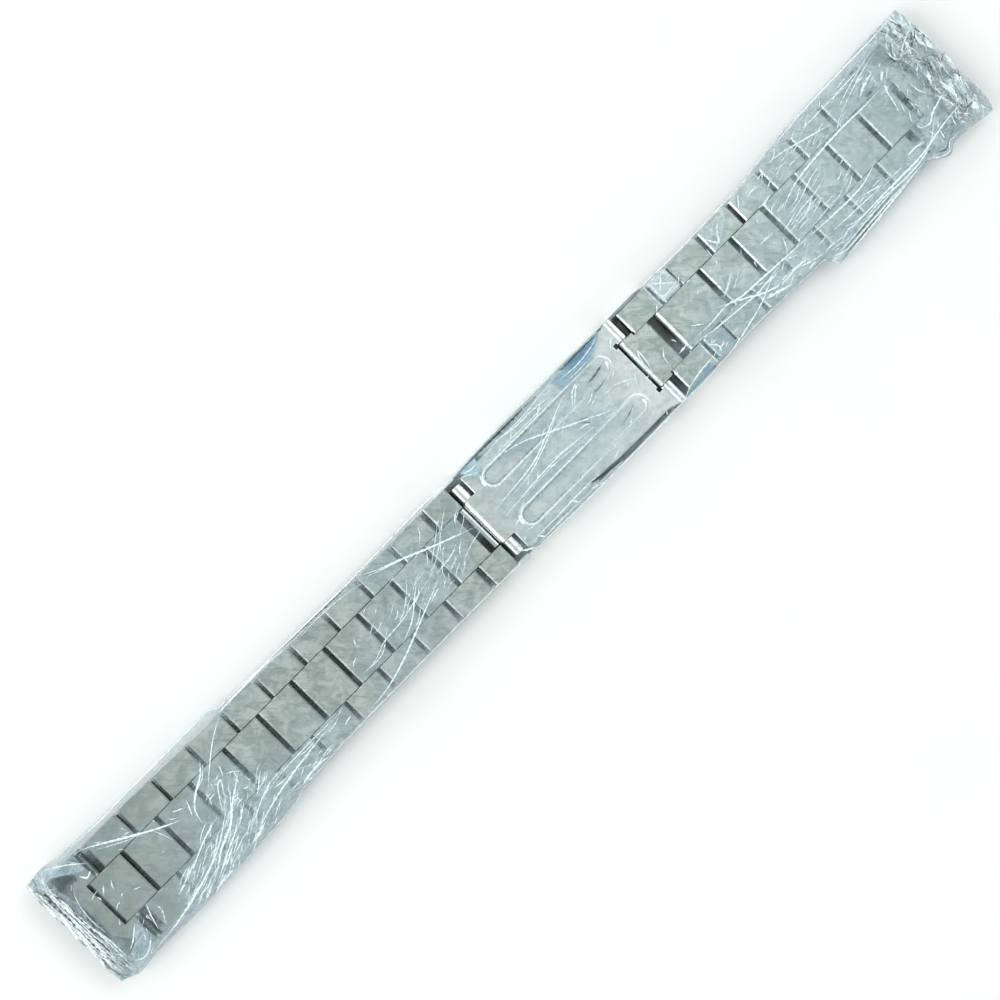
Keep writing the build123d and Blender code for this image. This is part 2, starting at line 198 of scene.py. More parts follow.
def steel(name, light, dark, roughness, smears, edge, grain_axis=(60, 1, 60), rounded=0.0, gap_top=0.0,
          floor_top=0.0):
    """Worn stainless steel: fine grain, mottled tone, slanting smears, fine scratches, and edges made
    bright, partly wear and partly painted highlight.

    Its sharp edges look rounded where a radius is given as rounded. Painted shade darkens gaps below
    gap_top, or floors below floor_top.
    """
    s = Shader(name)
    coordinates = s.node("TexCoord")
    where = coordinates.outputs["Object"]
    place = s.parts(where)
    facing = s.parts(coordinates.outputs["Normal"])
    slant = s.node("Mapping", Vector=where, Rotation=(0, 0, 0.8))

    broad = s.span(s.noise(where, 120, 1.0), 0.35, 0.65, -0.25, 0.25)
    tone = s.span(s.noise(where, 420, 4.0, 0.62, distortion=0.8), 0.40, 0.60)
    smear = s.noise(slant, 1000, 3.0, 0.6, stretch=(3.0, 1, 1), distortion=0.9)
    patch = s.span(smear, 0.50, 0.66, 0.0, smears)
    grain = s.noise(where, 9000, 2.0, 0.7, stretch=grain_axis)
    scratch = s.span(s.noise(slant, 2600, 1.0, 0.5, stretch=(1, 8, 1)), 0.70, 0.75)
    round_normal, edges = edge_share(s, rounded or edge_radius * MM)

    colour = s.mix(s.math("ADD", tone, broad, clamp=True), dark, light)
    colour = s.mix(patch, colour, smear_tint)
    # Bright edges: partly wear, partly painted highlight
    colour = s.mix(s.math("MULTIPLY", edges, edge), colour, edge_wear_and_highlight_tint)
    # Painted shade towards both ends and on the turned-down ears
    colour = s.mix(painted_shade_share(s, place[0], facing[2]), colour, painted_shade_tint)

    rough = s.math("ADD", s.span(grain, 0.3, 0.7, -0.05, 0.05), roughness)
    rough = s.math("ADD", rough, s.math("MULTIPLY", patch, 0.18))
    rough = s.math("SUBTRACT", rough, s.math("MULTIPLY", scratch, 0.06))
    rough = s.math("SUBTRACT", rough, s.math("MULTIPLY", edges, 0.10))

    relief = s.math("ADD", s.math("MULTIPLY", grain, 0.5), s.math("MULTIPLY", tone, 0.35))
    relief = s.math("SUBTRACT", relief, s.math("MULTIPLY", scratch, 0.3))
    bump = s.node("Bump", Strength=0.3, Distance=0.012 * MM, Height=relief)
    if rounded:
        s.set(bump, "Normal", round_normal)

    shade = s.node("BsdfPrincipled", Metallic=1.0, Normal=bump)
    # Painted shade: gaps between links and low floors turn dark, dull and not metallic
    if gap_top or floor_top:
        painted_dark = painted_gap_shade(s, place, facing, gap_top) if gap_top else painted_floor_shade(s, place, facing, floor_top)
        colour = s.mix(painted_dark, colour, gap_shade_tint)
        rough = s.math("MAXIMUM", rough, s.math("MULTIPLY", painted_dark, 0.9))
        s.set(shade, "Metallic", s.math("SUBTRACT", 1.0, painted_dark))
    s.set(shade, "Base Color", colour)
    s.set(shade, "Roughness", s.math("MAXIMUM", rough, 0.05))
    return s.finish(shade)


link_steel = steel(
    "link_steel",
    light=(0.70, 0.78, 0.75, 1),
    dark=(0.48, 0.56, 0.53, 1),
    roughness=0.34,
    smears=0.60,
    edge=0.30,
    gap_top=(link_top - gap_shade_depth) * MM,
)
# The clasp's edges and ring beads are brightened most: partly wear, partly painted highlight
sheet_steel = steel(
    "sheet_steel",
    light=(0.92, 0.98, 0.96, 1),
    dark=(0.73, 0.80, 0.78, 1),
    roughness=0.33,
    smears=0.24,
    edge=0.80,
    rounded=0.28 * MM,
    floor_top=clasp_floor * MM,
)
# Painted shade: the pins' steel is made darker than the links', since they show in the shade between links
pin_steel = steel(
    "pin_steel",
    light=(0.60, 0.64, 0.64, 1),
    dark=(0.46, 0.50, 0.50, 1),
    roughness=0.32,
    smears=0.2,
    edge=0.2,
    grain_axis=(1, 40, 1),
)
spring_steel = steel(
    "spring_steel",
    light=(0.76, 0.81, 0.82, 1),
    dark=(0.62, 0.66, 0.67, 1),
    roughness=0.24,
    smears=0.2,
    edge=0.2,
    grain_axis=(1, 60, 1),
)


def node_steel(name):
    """The steel of a CAD node."""
    if name.endswith("_pin"):
        return pin_steel
    if name == "catch_spring":
        return spring_steel
    return sheet_steel if name in ("clasp_cover", "middle_blade", "inner_blade") else link_steel


for name, node in frame["nodes"].items():
    for slot in node.material_slots:
        slot.material = node_steel(name)
    if not node.material_slots:
        node.data.materials.append(node_steel(name))

# Packing film. Sizes are in millimetres of the frame: x along the bracelet, y across it, z up
joint_x = {(j["parent"], j["child"]): j["pos_m"][0] / MM for j in frame["record"]["behaviour"]["joints"]}
metal_ends = (cad_box[0][0] / MM, cad_box[1][0] / MM)
lugs_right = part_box("cover_lugs")[1][0] / MM
blade_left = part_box("inner_blade")[0][0] / MM
ears_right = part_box("inner_blade")[1][0] / MM
film_start = -95.2
film_end = 98.4
film_split = (lugs_right + blade_left) / 2
film_seam = 0.06
ears_bare = 1.8
blade_film_half = 8.5
blade_film_end = joint_x["inner_blade", "tongue"] - ears_bare
film_gap = 0.12
film_lowest = 0.05
film_width = 20
edge_round = 0.3
edge_drop = 0.32
end_slope = 0.22
end_drop = 1.6
crumple_left = 2.5
crumple_right = 4.0
crumple_rise = 0.35
crumple_haze = 0.15
bunched_rise = 0.5
skirt_low = 0.9
rim_drop = 0.45
rim_inset = 0.14
rim_haze = 0.12
wall_level = 3.5
back_level = 1.38
back_inset = 0.5
back_ripple = 0.6
back_haze = 0.95
# The back layer under the links is real film, darkened as painted shade so the gaps between links look
# dark
back_shade_tone = 0.42
lug_film_start = -13.0
lug_film_half = 8
lug_film_level = 0.32
lug_film_ripple = 0.3
lug_film_step = 0.4
lug_film_columns = 7

# How finely the film is divided: a column's length, then steps from its middle to its edge, skirt and back
column_length = 0.42
over_steps = 19
skirt_steps = 3
back_steps = 5
front_points = 2 * (over_steps + skirt_steps) + 1
back_points = 2 * back_steps + 1

# How far the film stands out past the metal: place along the bracelet, upper side, lower side
film_reach = (
    (-95.2, 1.6, 0.9),
    (-92.0, 1.9, 1.9),
    (-88.0, 1.3, 1.5),
    (-80.0, 1.1, 1.7),
    (-72.0, 1.0, 1.6),
    (-62.0, 1.3, 1.5),
    (-57.5, 1.5, 1.2),
    (-56.0, 0.7, 0.5),
    (-46.0, 0.7, 0.25),
    (-40.0, 0.6, 0.2),
    (-27.0, 0.4, 0.2),
    (-13.5, 0.7, 0.2),
    (-6.0, 0.35, 0.25),
    (14.0, 0.35, 0.3),
    (27.0, 0.6, 0.6),
    (33.5, 1.1, 0.9),
    (37.5, 0.5, 0.6),
    (45.0, 0.25, 0.25),
    (60.5, 0.3, 0.4),
    (62.5, 0.8, 2.7),
    (72.0, 1.5, 2.0),
    (84.0, 1.6, 1.0),
    (87.5, 1.8, 2.6),
    (90.0, 1.9, 1.5),
    (98.4, 2.1, 2.4),
)

# How cloudy the film is by itself: place along the bracelet, on the upper side, on the lower side
film_veil = (
    (-95.0, 0.10, 0.10),
    (-84.0, 0.04, 0.15),
    (-76.0, 0.05, 0.30),
    (-60.0, 0.10, 0.35),
    (-56.0, 0.04, 0.28),
    (-44.0, 0.04, 0.20),
    (-40.0, 0.02, 0.03),
    (-33.0, 0.04, 0.22),
    (-24.0, 0.22, 0.25),
    (-12.0, 0.08, 0.10),
    (-7.0, 0.02, 0.05),
    (-3.0, 0.22, 0.24),
    (10.0, 0.36, 0.34),
    (20.0, 0.24, 0.30),
    (24.0, 0.03, 0.05),
    (36.0, 0.03, 0.08),
    (44.0, 0.08, 0.25),
    (58.0, 0.12, 0.36),
    (64.0, 0.30, 0.44),
    (86.0, 0.40, 0.50),
    (90.0, 0.30, 0.44),
    (98.4, 0.20, 0.35),
)


def between(table, x, column):
    """A value read from a table by its first column, eased from row to row."""
    if x <= table[0][0]:
        return table[0][column]
    for low, high in zip(table, table[1:]):
        if x <= high[0]:
            share = (x - low[0]) / (high[0] - low[0])
            return low[column] + (high[column] - low[column]) * share * share * (3 - 2 * share)
    return table[-1][column]


rows = sorted(
    (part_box(name)[0][0] / MM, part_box(name)[1][0] / MM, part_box(name)[1][1] / MM)
    for name in frame["nodes"]
    if name.startswith(("side_links", "end_link", "bridge_side", "tongue_side", "clasp_cover"))
)
metal_half_width = [((low + high) / 2, half) for low, high, half in rows]

# The film's level along the bracelet: place, height of the metal under it
film_level = (
    (film_split - 6, link_top),
    (film_split - 1.6, link_top),
    (film_split + 1.5, blade_top - 0.22),
    (film_split + 5, blade_top),
    (ears_right - 4, blade_top),
    (ears_right + 1.2, link_top),
)

# Small waves in the film: how fast they turn along and across, where they start, and their height
wrinkles = random.Random(7)
waves = [
    [wrinkles.uniform(low, high) for low, high in ((0.15, 1.1), (-0.9, 0.9), (0, 6.3), (0.01, 0.035))]
    for _ in range(9)
]


def outline(x, side):
    """Half the metal's width and the film's reach at x, on the upper side (above 0) or the lower one."""
    half = between(metal_half_width, x, 1)
    return half, half + between(film_reach, x, 1 if side > 0 else 2)


def crumple(x):
    """How crumpled the film is at x: 1 past the metal's ends, 0 in the middle."""
    left = (metal_ends[0] + crumple_left - x) / crumple_left
    right = (x - metal_ends[1] + crumple_right) / crumple_right
    return min(max(left, right, 0.0), 1.0)


def ripple(x, y):
    """The height of the small waves."""
    return sum(
        size * (1 + math.sin(along * x + across * y + phase)) for along, across, phase, size in waves
    )


def film_height(x, y):
    """The film's height over the plan point (x, y): flat over the metal, falling towards its own edge."""
    half, edge = outline(x, y)
    top = between(film_level, x, 1) + film_gap
    fall = min(max((abs(y) - half + edge_round) / (edge - half + edge_round), 0.0), 1.0)
    past = max(metal_ends[0] - x, x - metal_ends[1], 0.0)
    drop = edge_drop * top * fall * fall + min(end_slope * past, end_drop)
    bunched = crumple_rise * crumple(x) * math.sin(5.1 * x + 2.3 * y) * math.sin(3.7 * y)
    return top - drop + (ripple(x, y) * (1 - fall) + bunched)


def see_through(name, pale, shaded, most, onset, grain, roughness, bump, metallic=0.0):
    """Clear plastic. It shows as far as the mesh's haze says, broken up by noise, in the mesh's tone."""
    s = Shader(name)
    where = s.node("TexCoord").outputs["Object"]
    haze = s.node("Attribute", {"attribute_name": "haze"}).outputs["Fac"]
    tone = s.node("Attribute", {"attribute_name": "tone"}).outputs["Color"]
    cloud = s.span(s.noise(where, grain, 4.0, 0.62, distortion=1.5), 0.36, 0.64)
    streak = s.noise(where, grain * 2.5, 3.0, 0.6, stretch=(4, 1, 1), distortion=0.8)
    cover = s.math("MULTIPLY", haze, s.span(streak, 0.30, 0.60, 0.45, 1.0))
    relief = s.math("ADD", cloud, s.math("MULTIPLY", streak, 1.5))
    shade = s.node(
        "BsdfPrincipled",
        IOR=1.5,
        Metallic=metallic,
        Base_Color=s.mix(1.0, s.mix(cloud, shaded, pale), tone, "MULTIPLY"),
        Roughness=s.span(streak, 0.3, 0.7, roughness, roughness + 0.18),
        Normal=s.node("Bump", Strength=0.5, Distance=bump * MM, Height=relief),
        Alpha=s.span(cover, onset[0], onset[1], 0.0, most),
    )
    return s.finish(shade)


film_plastic = see_through(
    "film_plastic",
    pale=(0.62, 0.75, 0.82, 1),
    shaded=(0.34, 0.46, 0.52, 1),
    most=0.66,
    onset=(0.06, 0.95),
    grain=700,
    roughness=0.14,
    bump=0.08,
)
# The creases' near-white is partly painted highlight, standing for the lamps' glints along the folds
crease_plastic = see_through(
    "crease_plastic",
    pale=(0.94, 1.0, 1.0, 1),
    shaded=(0.76, 0.88, 0.91, 1),
    most=1.0,
    onset=(0.12, 0.45),
    grain=1500,
    roughness=0.12,
    bump=0.03,
)
tab_plastic = see_through(
    "tab_plastic",
    pale=(1.0, 1.0, 1.0, 1),
    shaded=(0.72, 0.76, 0.78, 1),
    most=1.0,
    onset=(0.0, 0.9),
    grain=900,
    roughness=0.12,
    bump=0.06,
)
bunched_plastic = see_through(
    "bunched_plastic",
    pale=(0.92, 1.0, 1.0, 1),
    shaded=(0.66, 0.78, 0.80, 1),
    most=0.95,
    onset=(0.05, 0.6),
    grain=900,
    roughness=0.16,
    bump=0.05,
    metallic=0.8,
)

# Tones of the film
clear = (1.0, 1.0, 1.0)
white_fold = (0.82, 0.92, 0.94)
pale_blue = (0.50, 0.62, 0.70)
sky = (0.50, 0.72, 0.82)
cyan = (0.34, 0.53, 0.66)
blue = (0.17, 0.34, 0.50)
deep_blue = (0.04, 0.10, 0.16)
# The tone of painted shade, for dark folds and shaded patches
painted_shade_tone = (0.05, 0.075, 0.075)

# The main creases, white partly as painted highlight: width in millimetres, strength, then the points they
# pass through
creases = (
    (0.5, 1.0, (-91.9, 10.4), (-93.0, 6.0), (-92.8, 1.0), (-91.9, -3.5), (-91.7, -8.6)),
    (0.4, 0.9, (-92.3, 10.6), (-94.2, 6.6), (-94.4, 2.4), (-93.6, -2.6), (-92.6, -8.6)),
    (0.35, 0.8, (-94.9, 10.2), (-94.8, 5.0), (-94.7, 0.0), (-94.3, -5.0), (-93.2, -9.6)),
    (0.3, 0.8, (-93.3, 9.0), (-93.9, 3.8), (-93.2, -0.6), (-92.4, -4.6), (-92.1, -8.0)),
    (0.35, 0.9, (-91.9, 10.4), (-90.4, 9.8), (-88.0, 8.2), (-85.9, 6.3)),
    (0.5, 1.0, (-88.3, 6.0), (-87.6, 5.0), (-86.6, 5.3)),
    (0.3, 0.7, (-89.6, 6.2), (-91.0, 3.8), (-91.6, 0.4), (-91.3, -4.2)),
    (0.4, 0.8, (-91.0, -7.4), (-89.4, -6.6), (-87.4, -4.9)),
    (0.45, 0.9, (-91.6, -8.6), (-90.2, -9.6), (-88.6, -9.2), (-87.0, -8.0)),
    (0.35, 0.8, (-84.1, -3.8), (-84.9, -5.8), (-85.6, -8.2)),
    (0.35, 0.7, (-83.5, -5.0), (-83.2, -6.4), (-84.3, -8.4)),
    (0.5, 1.0, (-86.6, 9.0), (-84.0, 7.9), (-79.0, 4.9), (-75.0, 2.6), (-71.0, 0.7)),
    (0.3, 0.6, (-84.4, 7.4), (-80.0, 4.9), (-77.4, 3.8)),
    (0.25, 0.6, (-76.0, 3.4), (-75.2, 1.4), (-74.6, -0.4)),
    (0.3, 0.9, (-71.9, 2.9), (-70.2, 2.0)),
    (0.3, 0.9, (-69.0, 2.7), (-70.1, 0.2)),
    (0.5, 1.0, (-69.9, -2.0), (-69.2, 0.5), (-67.5, 2.2), (-65.0, 3.7), (-63.3, 5.5)),
    (0.3, 0.9, (-69.0, 0.9), (-66.9, 2.6), (-65.2, 3.1), (-63.4, 4.8)),
    (0.35, 0.8, (-66.0, 1.0), (-63.0, 3.7), (-59.5, 6.4), (-56.0, 8.3)),
    (0.35, 0.9, (-66.8, -3.2), (-65.6, -1.2), (-64.2, 0.7), (-63.3, 1.1), (-64.0, -0.2), (-65.6, -2.6)),
    (0.3, 0.8, (-62.5, 1.3), (-61.2, 0.7), (-60.2, -0.2)),
    (0.4, 0.9, (-77.0, -6.3), (-74.0, -4.7), (-70.5, -3.3), (-67.0, -2.4)),
    (0.45, 1.0, (-84.5, -10.0), (-79.0, -8.7), (-74.0, -7.3), (-70.0, -5.5), (-67.0, -3.5),
     (-64.6, -1.8)),
    (0.45, 0.9, (-89.0, -10.1), (-83.0, -9.5), (-77.5, -8.3), (-73.0, -7.0), (-70.0, -6.3)),
    (0.6, 1.0, (-76.0, -9.6), (-73.0, -8.1), (-70.5, -6.4), (-67.0, -4.8), (-64.5, -2.7),
     (-62.0, -1.0), (-59.8, 0.6)),
    (0.4, 0.9, (-75.0, -9.9), (-71.0, -7.8), (-67.5, -6.2), (-65.0, -4.6)),
    (0.35, 0.8, (-72.5, -8.4), (-69.0, -6.9), (-65.5, -5.4)),
    (0.35, 0.8, (-67.0, -8.4), (-63.0, -6.4), (-58.5, -4.6), (-54.0, -4.4)),
    (0.5, 0.9, (-66.0, -9.2), (-63.0, -7.9), (-59.0, -6.8), (-53.0, -5.8), (-45.0, -4.9)),
    (0.35, 0.7, (-62.5, -6.2), (-58.0, -5.0), (-50.0, -4.6), (-42.0, -4.8)),
    (0.9, 0.9, (-76.5, -10.8), (-73.5, -9.9), (-71.0, -10.2)),
    (0.8, 0.9, (-67.0, -9.2), (-65.0, -8.9), (-63.2, -8.3)),
    (0.3, 0.9, (-88.0, 10.0), (-80.0, 9.7), (-73.0, 9.9), (-66.0, 9.8), (-57.5, 10.1)),
    (0.3, 0.9, (-88.0, -10.5), (-80.0, -10.9), (-72.0, -10.7), (-62.0, -10.4), (-58.0, -9.6)),
    (0.25, 0.7, (-55.5, -5.4), (-51.5, -7.4), (-49.5, -8.2)),
    (0.6, 1.0, (-55.4, -8.4), (-51.5, -7.9), (-49.0, -8.3)),
    (0.45, 0.9, (-57.0, 8.4), (-52.0, 8.6), (-46.0, 8.6), (-42.5, 8.1)),
    (0.25, 0.9, (-46.0, 8.9), (-36.0, 8.5), (-27.5, 8.3)),
    (0.3, 0.6, (-41.5, 7.7), (-35.0, 7.9), (-29.0, 7.3), (-25.0, 6.2)),
    (0.4, 1.0, (-41.0, -7.7), (-36.0, -7.3), (-31.0, -6.0), (-27.0, -4.5), (-22.0, -2.5),
     (-16.5, -0.4)),
    (0.3, 0.8, (-37.5, -3.1), (-34.0, -2.9), (-31.0, -1.9), (-26.5, -1.5), (-22.0, -0.5), (-17.0, 0.5)),
    (0.3, 0.7, (-37.5, -3.0), (-33.0, -3.1), (-30.5, -1.7), (-29.0, -0.5)),
    (0.4, 0.9, (-29.5, -4.2), (-26.0, -2.8), (-23.0, -0.5), (-20.7, 1.4)),
    (0.25, 0.7, (-27.0, -1.6), (-24.0, 0.4), (-21.3, 2.9)),
    (0.5, 1.0, (-27.0, 8.3), (-24.0, 6.7), (-20.0, 5.1), (-15.0, 3.0), (-10.0, 1.1), (-8.2, 0.5)),
    (0.3, 0.8, (-26.5, 7.3), (-22.0, 5.7), (-19.0, 4.6)),
    (0.3, 0.7, (-20.5, -0.7), (-16.0, 1.6), (-12.0, 4.5), (-8.8, 6.8)),
    (0.3, 0.7, (-18.0, 0.9), (-15.0, 3.1), (-12.6, 4.9)),
    (0.4, 0.8, (-18.2, -0.3), (-14.5, 0.1), (-12.6, 0.8)),
    (0.3, 0.6, (-14.5, -2.3), (-11.0, -0.9), (-7.0, -0.1)),
    (0.4, 0.9, (-6.0, 0.2), (0.0, 0.6), (5.0, 1.2), (9.0, 2.6), (14.0, 4.6), (17.5, 5.7)),
    (0.35, 0.8, (-3.0, -0.1), (3.0, 0.3), (8.0, 1.8), (11.0, 3.1), (15.0, 5.3)),
    (0.5, 0.8, (0.0, 6.1), (5.0, 5.0), (8.0, 3.8), (12.0, 1.8), (16.0, -0.1), (19.0, -1.5),
     (22.0, -2.1)),
    (0.4, 0.8, (-5.5, -1.7), (1.0, -1.2), (8.0, -0.9), (14.0, -1.4), (17.5, -2.0)),
    (0.3, 0.6, (0.0, -1.5), (7.0, -1.3), (11.5, -1.8), (16.0, -2.0)),
    (0.25, 0.6, (4.5, 0.3), (8.0, -0.6), (12.5, -1.0)),
    (0.25, 0.5, (5.5, 3.8), (9.0, 5.4), (12.0, 6.5), (14.5, 7.8)),
    (0.4, 0.9, (15.0, 2.0), (16.8, 3.8), (18.3, 5.0), (17.0, 4.6), (15.0, 2.4)),
    (0.3, 0.7, (-5.4, 7.8), (-3.6, 7.0), (-2.0, 6.1)),
    (0.5, 0.9, (-6.4, -6.9), (-5.2, -7.7), (-3.8, -8.5)),
    (0.3, 0.8, (22.0, 1.0), (24.6, -0.2), (25.4, -0.6)),
    (0.3, 0.8, (24.9, -2.0), (26.2, 0.0)),
    (0.4, 0.8, (26.0, 5.0), (27.4, 6.4)),
    (0.35, 0.9, (28.2, -2.0), (28.2, 0.2), (28.9, 1.9), (28.8, 0.0), (28.2, -2.2)),
    (0.4, 0.8, (30.9, -3.0), (31.2, -1.6), (32.1, -0.6)),
    (0.5, 0.9, (33.2, -3.0), (35.5, -2.8)),
    (0.5, 1.0, (35.0, -3.0), (40.0, -3.2), (44.0, -3.0), (47.0, -3.7), (52.0, -4.0), (57.0, -4.3),
     (63.0, -4.7)),
    (0.5, 1.0, (60.0, -4.5), (66.0, -4.9), (72.0, -5.0), (75.6, -4.3), (78.2, -3.2)),
    (0.4, 0.9, (35.5, -3.5), (40.0, -4.3), (45.0, -4.8), (49.0, -5.1), (53.0, -4.7), (55.5, -4.2)),
    (0.5, 0.9, (41.5, -1.5), (44.0, -2.8), (47.0, -4.3), (49.5, -5.7), (52.0, -6.5), (56.0, -7.1)),
    (0.4, 0.9, (30.0, -9.2), (36.0, -9.1), (42.0, -8.1), (48.0, -6.7), (52.0, -5.1), (55.5, -4.2)),
    (0.35, 0.8, (28.5, -9.2), (31.0, -7.8), (37.0, -7.1)),
    (0.9, 0.6, (44.5, -1.9), (46.5, -0.9), (48.3, 0.2)),
    (0.35, 0.7, (46.3, -2.2), (49.2, -0.6)),
    (0.3, 0.9, (37.6, -1.2), (39.4, -2.5)),
    (0.9, 0.6, (54.5, 0.0), (57.6, -0.1)),
    (0.35, 0.8, (56.5, -4.4), (57.4, -3.2), (58.1, -1.8)),
    (0.7, 0.7, (48.6, 7.6), (49.7, 5.5), (50.3, 4.9), (51.4, 6.4), (52.8, 7.6)),
    (0.8, 0.7, (37.3, 6.2), (38.2, 5.0), (40.9, 5.3)),
    (0.6, 0.8, (37.4, 8.3), (39.2, 6.7), (41.0, 5.1)),
    (0.6, 0.8, (37.4, 5.3), (39.2, 7.0), (40.6, 8.2)),
    (0.6, 0.8, (37.4, -5.0), (38.6, -6.6), (38.0, -7.8)),
    (0.6, 0.8, (58.5, 4.3), (60.0, 4.1), (61.6, 4.5)),
    (0.4, 0.7, (58.4, 6.6), (59.8, 6.9), (61.2, 6.7)),
    (0.9, 0.8, (49.0, -6.6), (51.5, -7.3), (54.0, -8.0)),
    (0.7, 0.8, (53.0, -7.0), (56.0, -6.6), (59.0, -7.0)),
    (0.4, 0.8, (55.0, -6.0), (58.0, -7.4), (62.0, -8.3)),
    (0.5, 1.0, (60.0, 0.6), (63.0, 2.0), (66.0, 2.9), (70.0, 3.4), (77.0, 3.8), (82.0, 3.7),
     (87.0, 3.8)),
    (0.35, 0.8, (60.0, -0.2), (64.0, 0.4), (68.0, 1.7), (72.0, 2.4)),
    (0.35, 0.8, (60.0, -1.2), (64.0, -0.6), (67.0, -0.4), (70.0, 0.4)),
    (0.35, 0.8, (59.8, -2.1), (63.0, -1.8), (66.0, -0.9)),
    (0.35, 0.6, (62.0, -3.9), (66.0, -3.6), (69.5, -3.4)),
    (0.45, 0.9, (64.0, 8.3), (68.0, 7.7), (73.0, 6.4), (77.5, 5.2)),
    (0.35, 0.8, (70.0, 6.6), (73.0, 8.0), (80.0, 8.2), (86.0, 8.5), (90.6, 9.3)),
    (0.9, 0.8, (82.8, 5.1), (85.0, 6.1), (87.2, 6.6)),
    (0.8, 0.9, (87.4, 4.6), (88.6, 5.6)),
    (0.4, 0.9, (88.3, 4.6), (87.0, 3.2), (86.3, 0.4), (85.8, -1.0)),
    (0.5, 0.9, (87.0, -3.6), (86.5, -5.0), (88.2, -5.6), (90.0, -4.6), (94.0, -3.6)),
    (0.35, 0.8, (63.0, -6.6), (70.0, -6.9), (76.0, -7.2)),
    (0.5, 1.0, (63.0, -8.4), (70.0, -8.4), (76.0, -8.3), (83.0, -8.3), (88.0, -7.5), (92.0, -7.0),
     (97.0, -6.9)),
    (0.5, 0.9, (66.0, -9.3), (73.0, -8.7), (80.0, -9.0), (85.0, -8.3), (88.0, -6.5), (90.4, -4.6)),
    (0.7, 1.0, (62.6, -11.2), (70.0, -10.6), (78.0, -9.8), (84.0, -9.2)),
    (0.4, 0.9, (62.6, -10.4), (72.0, -9.9), (80.0, -9.4)),
    (0.35, 0.9, (84.0, -9.2), (86.0, -10.6), (87.6, -11.0), (88.6, -9.9), (91.0, -10.0)),
    (0.3, 1.0, (66.0, 9.3), (74.0, 10.0), (84.0, 10.3), (92.0, 10.4), (97.6, 10.9)),
    (0.35, 0.9, (81.5, -7.0), (83.0, -6.6), (85.5, -7.2)),
    (0.3, 0.9, (90.4, 1.4), (90.6, -0.6), (91.2, -2.0)),
    (0.35, 0.9, (91.4, 7.6), (91.4, 5.6), (92.2, 4.9)),
    (0.4, 0.9, (92.0, 4.9), (94.5, 6.4), (98.0, 7.6)),
    (0.3, 0.9, (16.6, 7.4), (20.6, 7.1), (24.0, 7.5), (26.6, 8.2)),
    (0.25, 0.8, (17.0, 6.6), (20.0, 6.3), (23.0, 6.6)),
    (0.3, 0.9, (-4.4, 7.9), (-2.6, 7.3), (-1.2, 7.6)),
    (0.3, 0.8, (-0.8, 7.3), (3.0, 7.6), (8.0, 7.4), (13.0, 7.9), (16.0, 8.3)),
    (0.3, 0.9, (1.0, 8.3), (6.0, 7.2), (11.0, 7.0), (16.0, 6.3)),
    (0.25, 0.8, (-1.0, 6.2), (4.0, 6.3), (9.0, 6.2), (15.0, 6.4)),
    (0.3, 0.9, (-4.6, -7.2), (1.0, -7.3), (8.6, -7.2), (13.6, -7.9)),
    (0.25, 0.9, (-4.6, -8.2), (2.0, -8.1), (10.0, -8.3)),
    (0.5, 0.9, (4.8, -7.0), (5.6, -8.2)),
    (0.4, 0.9, (8.2, -8.0), (9.6, -8.4), (10.8, -8.9)),
    (0.4, 0.9, (30.9, -7.7), (33.4, -7.3), (37.3, -7.1)),
    (0.4, 0.9, (63.0, -9.9), (70.0, -9.3), (77.0, -9.0)),
    (0.45, 1.0, (63.0, -10.5), (70.0, -10.0), (77.0, -9.5)),
    (0.3, 0.8, (78.0, 5.2), (84.0, 7.2), (90.4, 8.8)),
    (0.3, 0.8, (78.0, 6.0), (83.0, 7.6), (88.0, 8.8)),
)

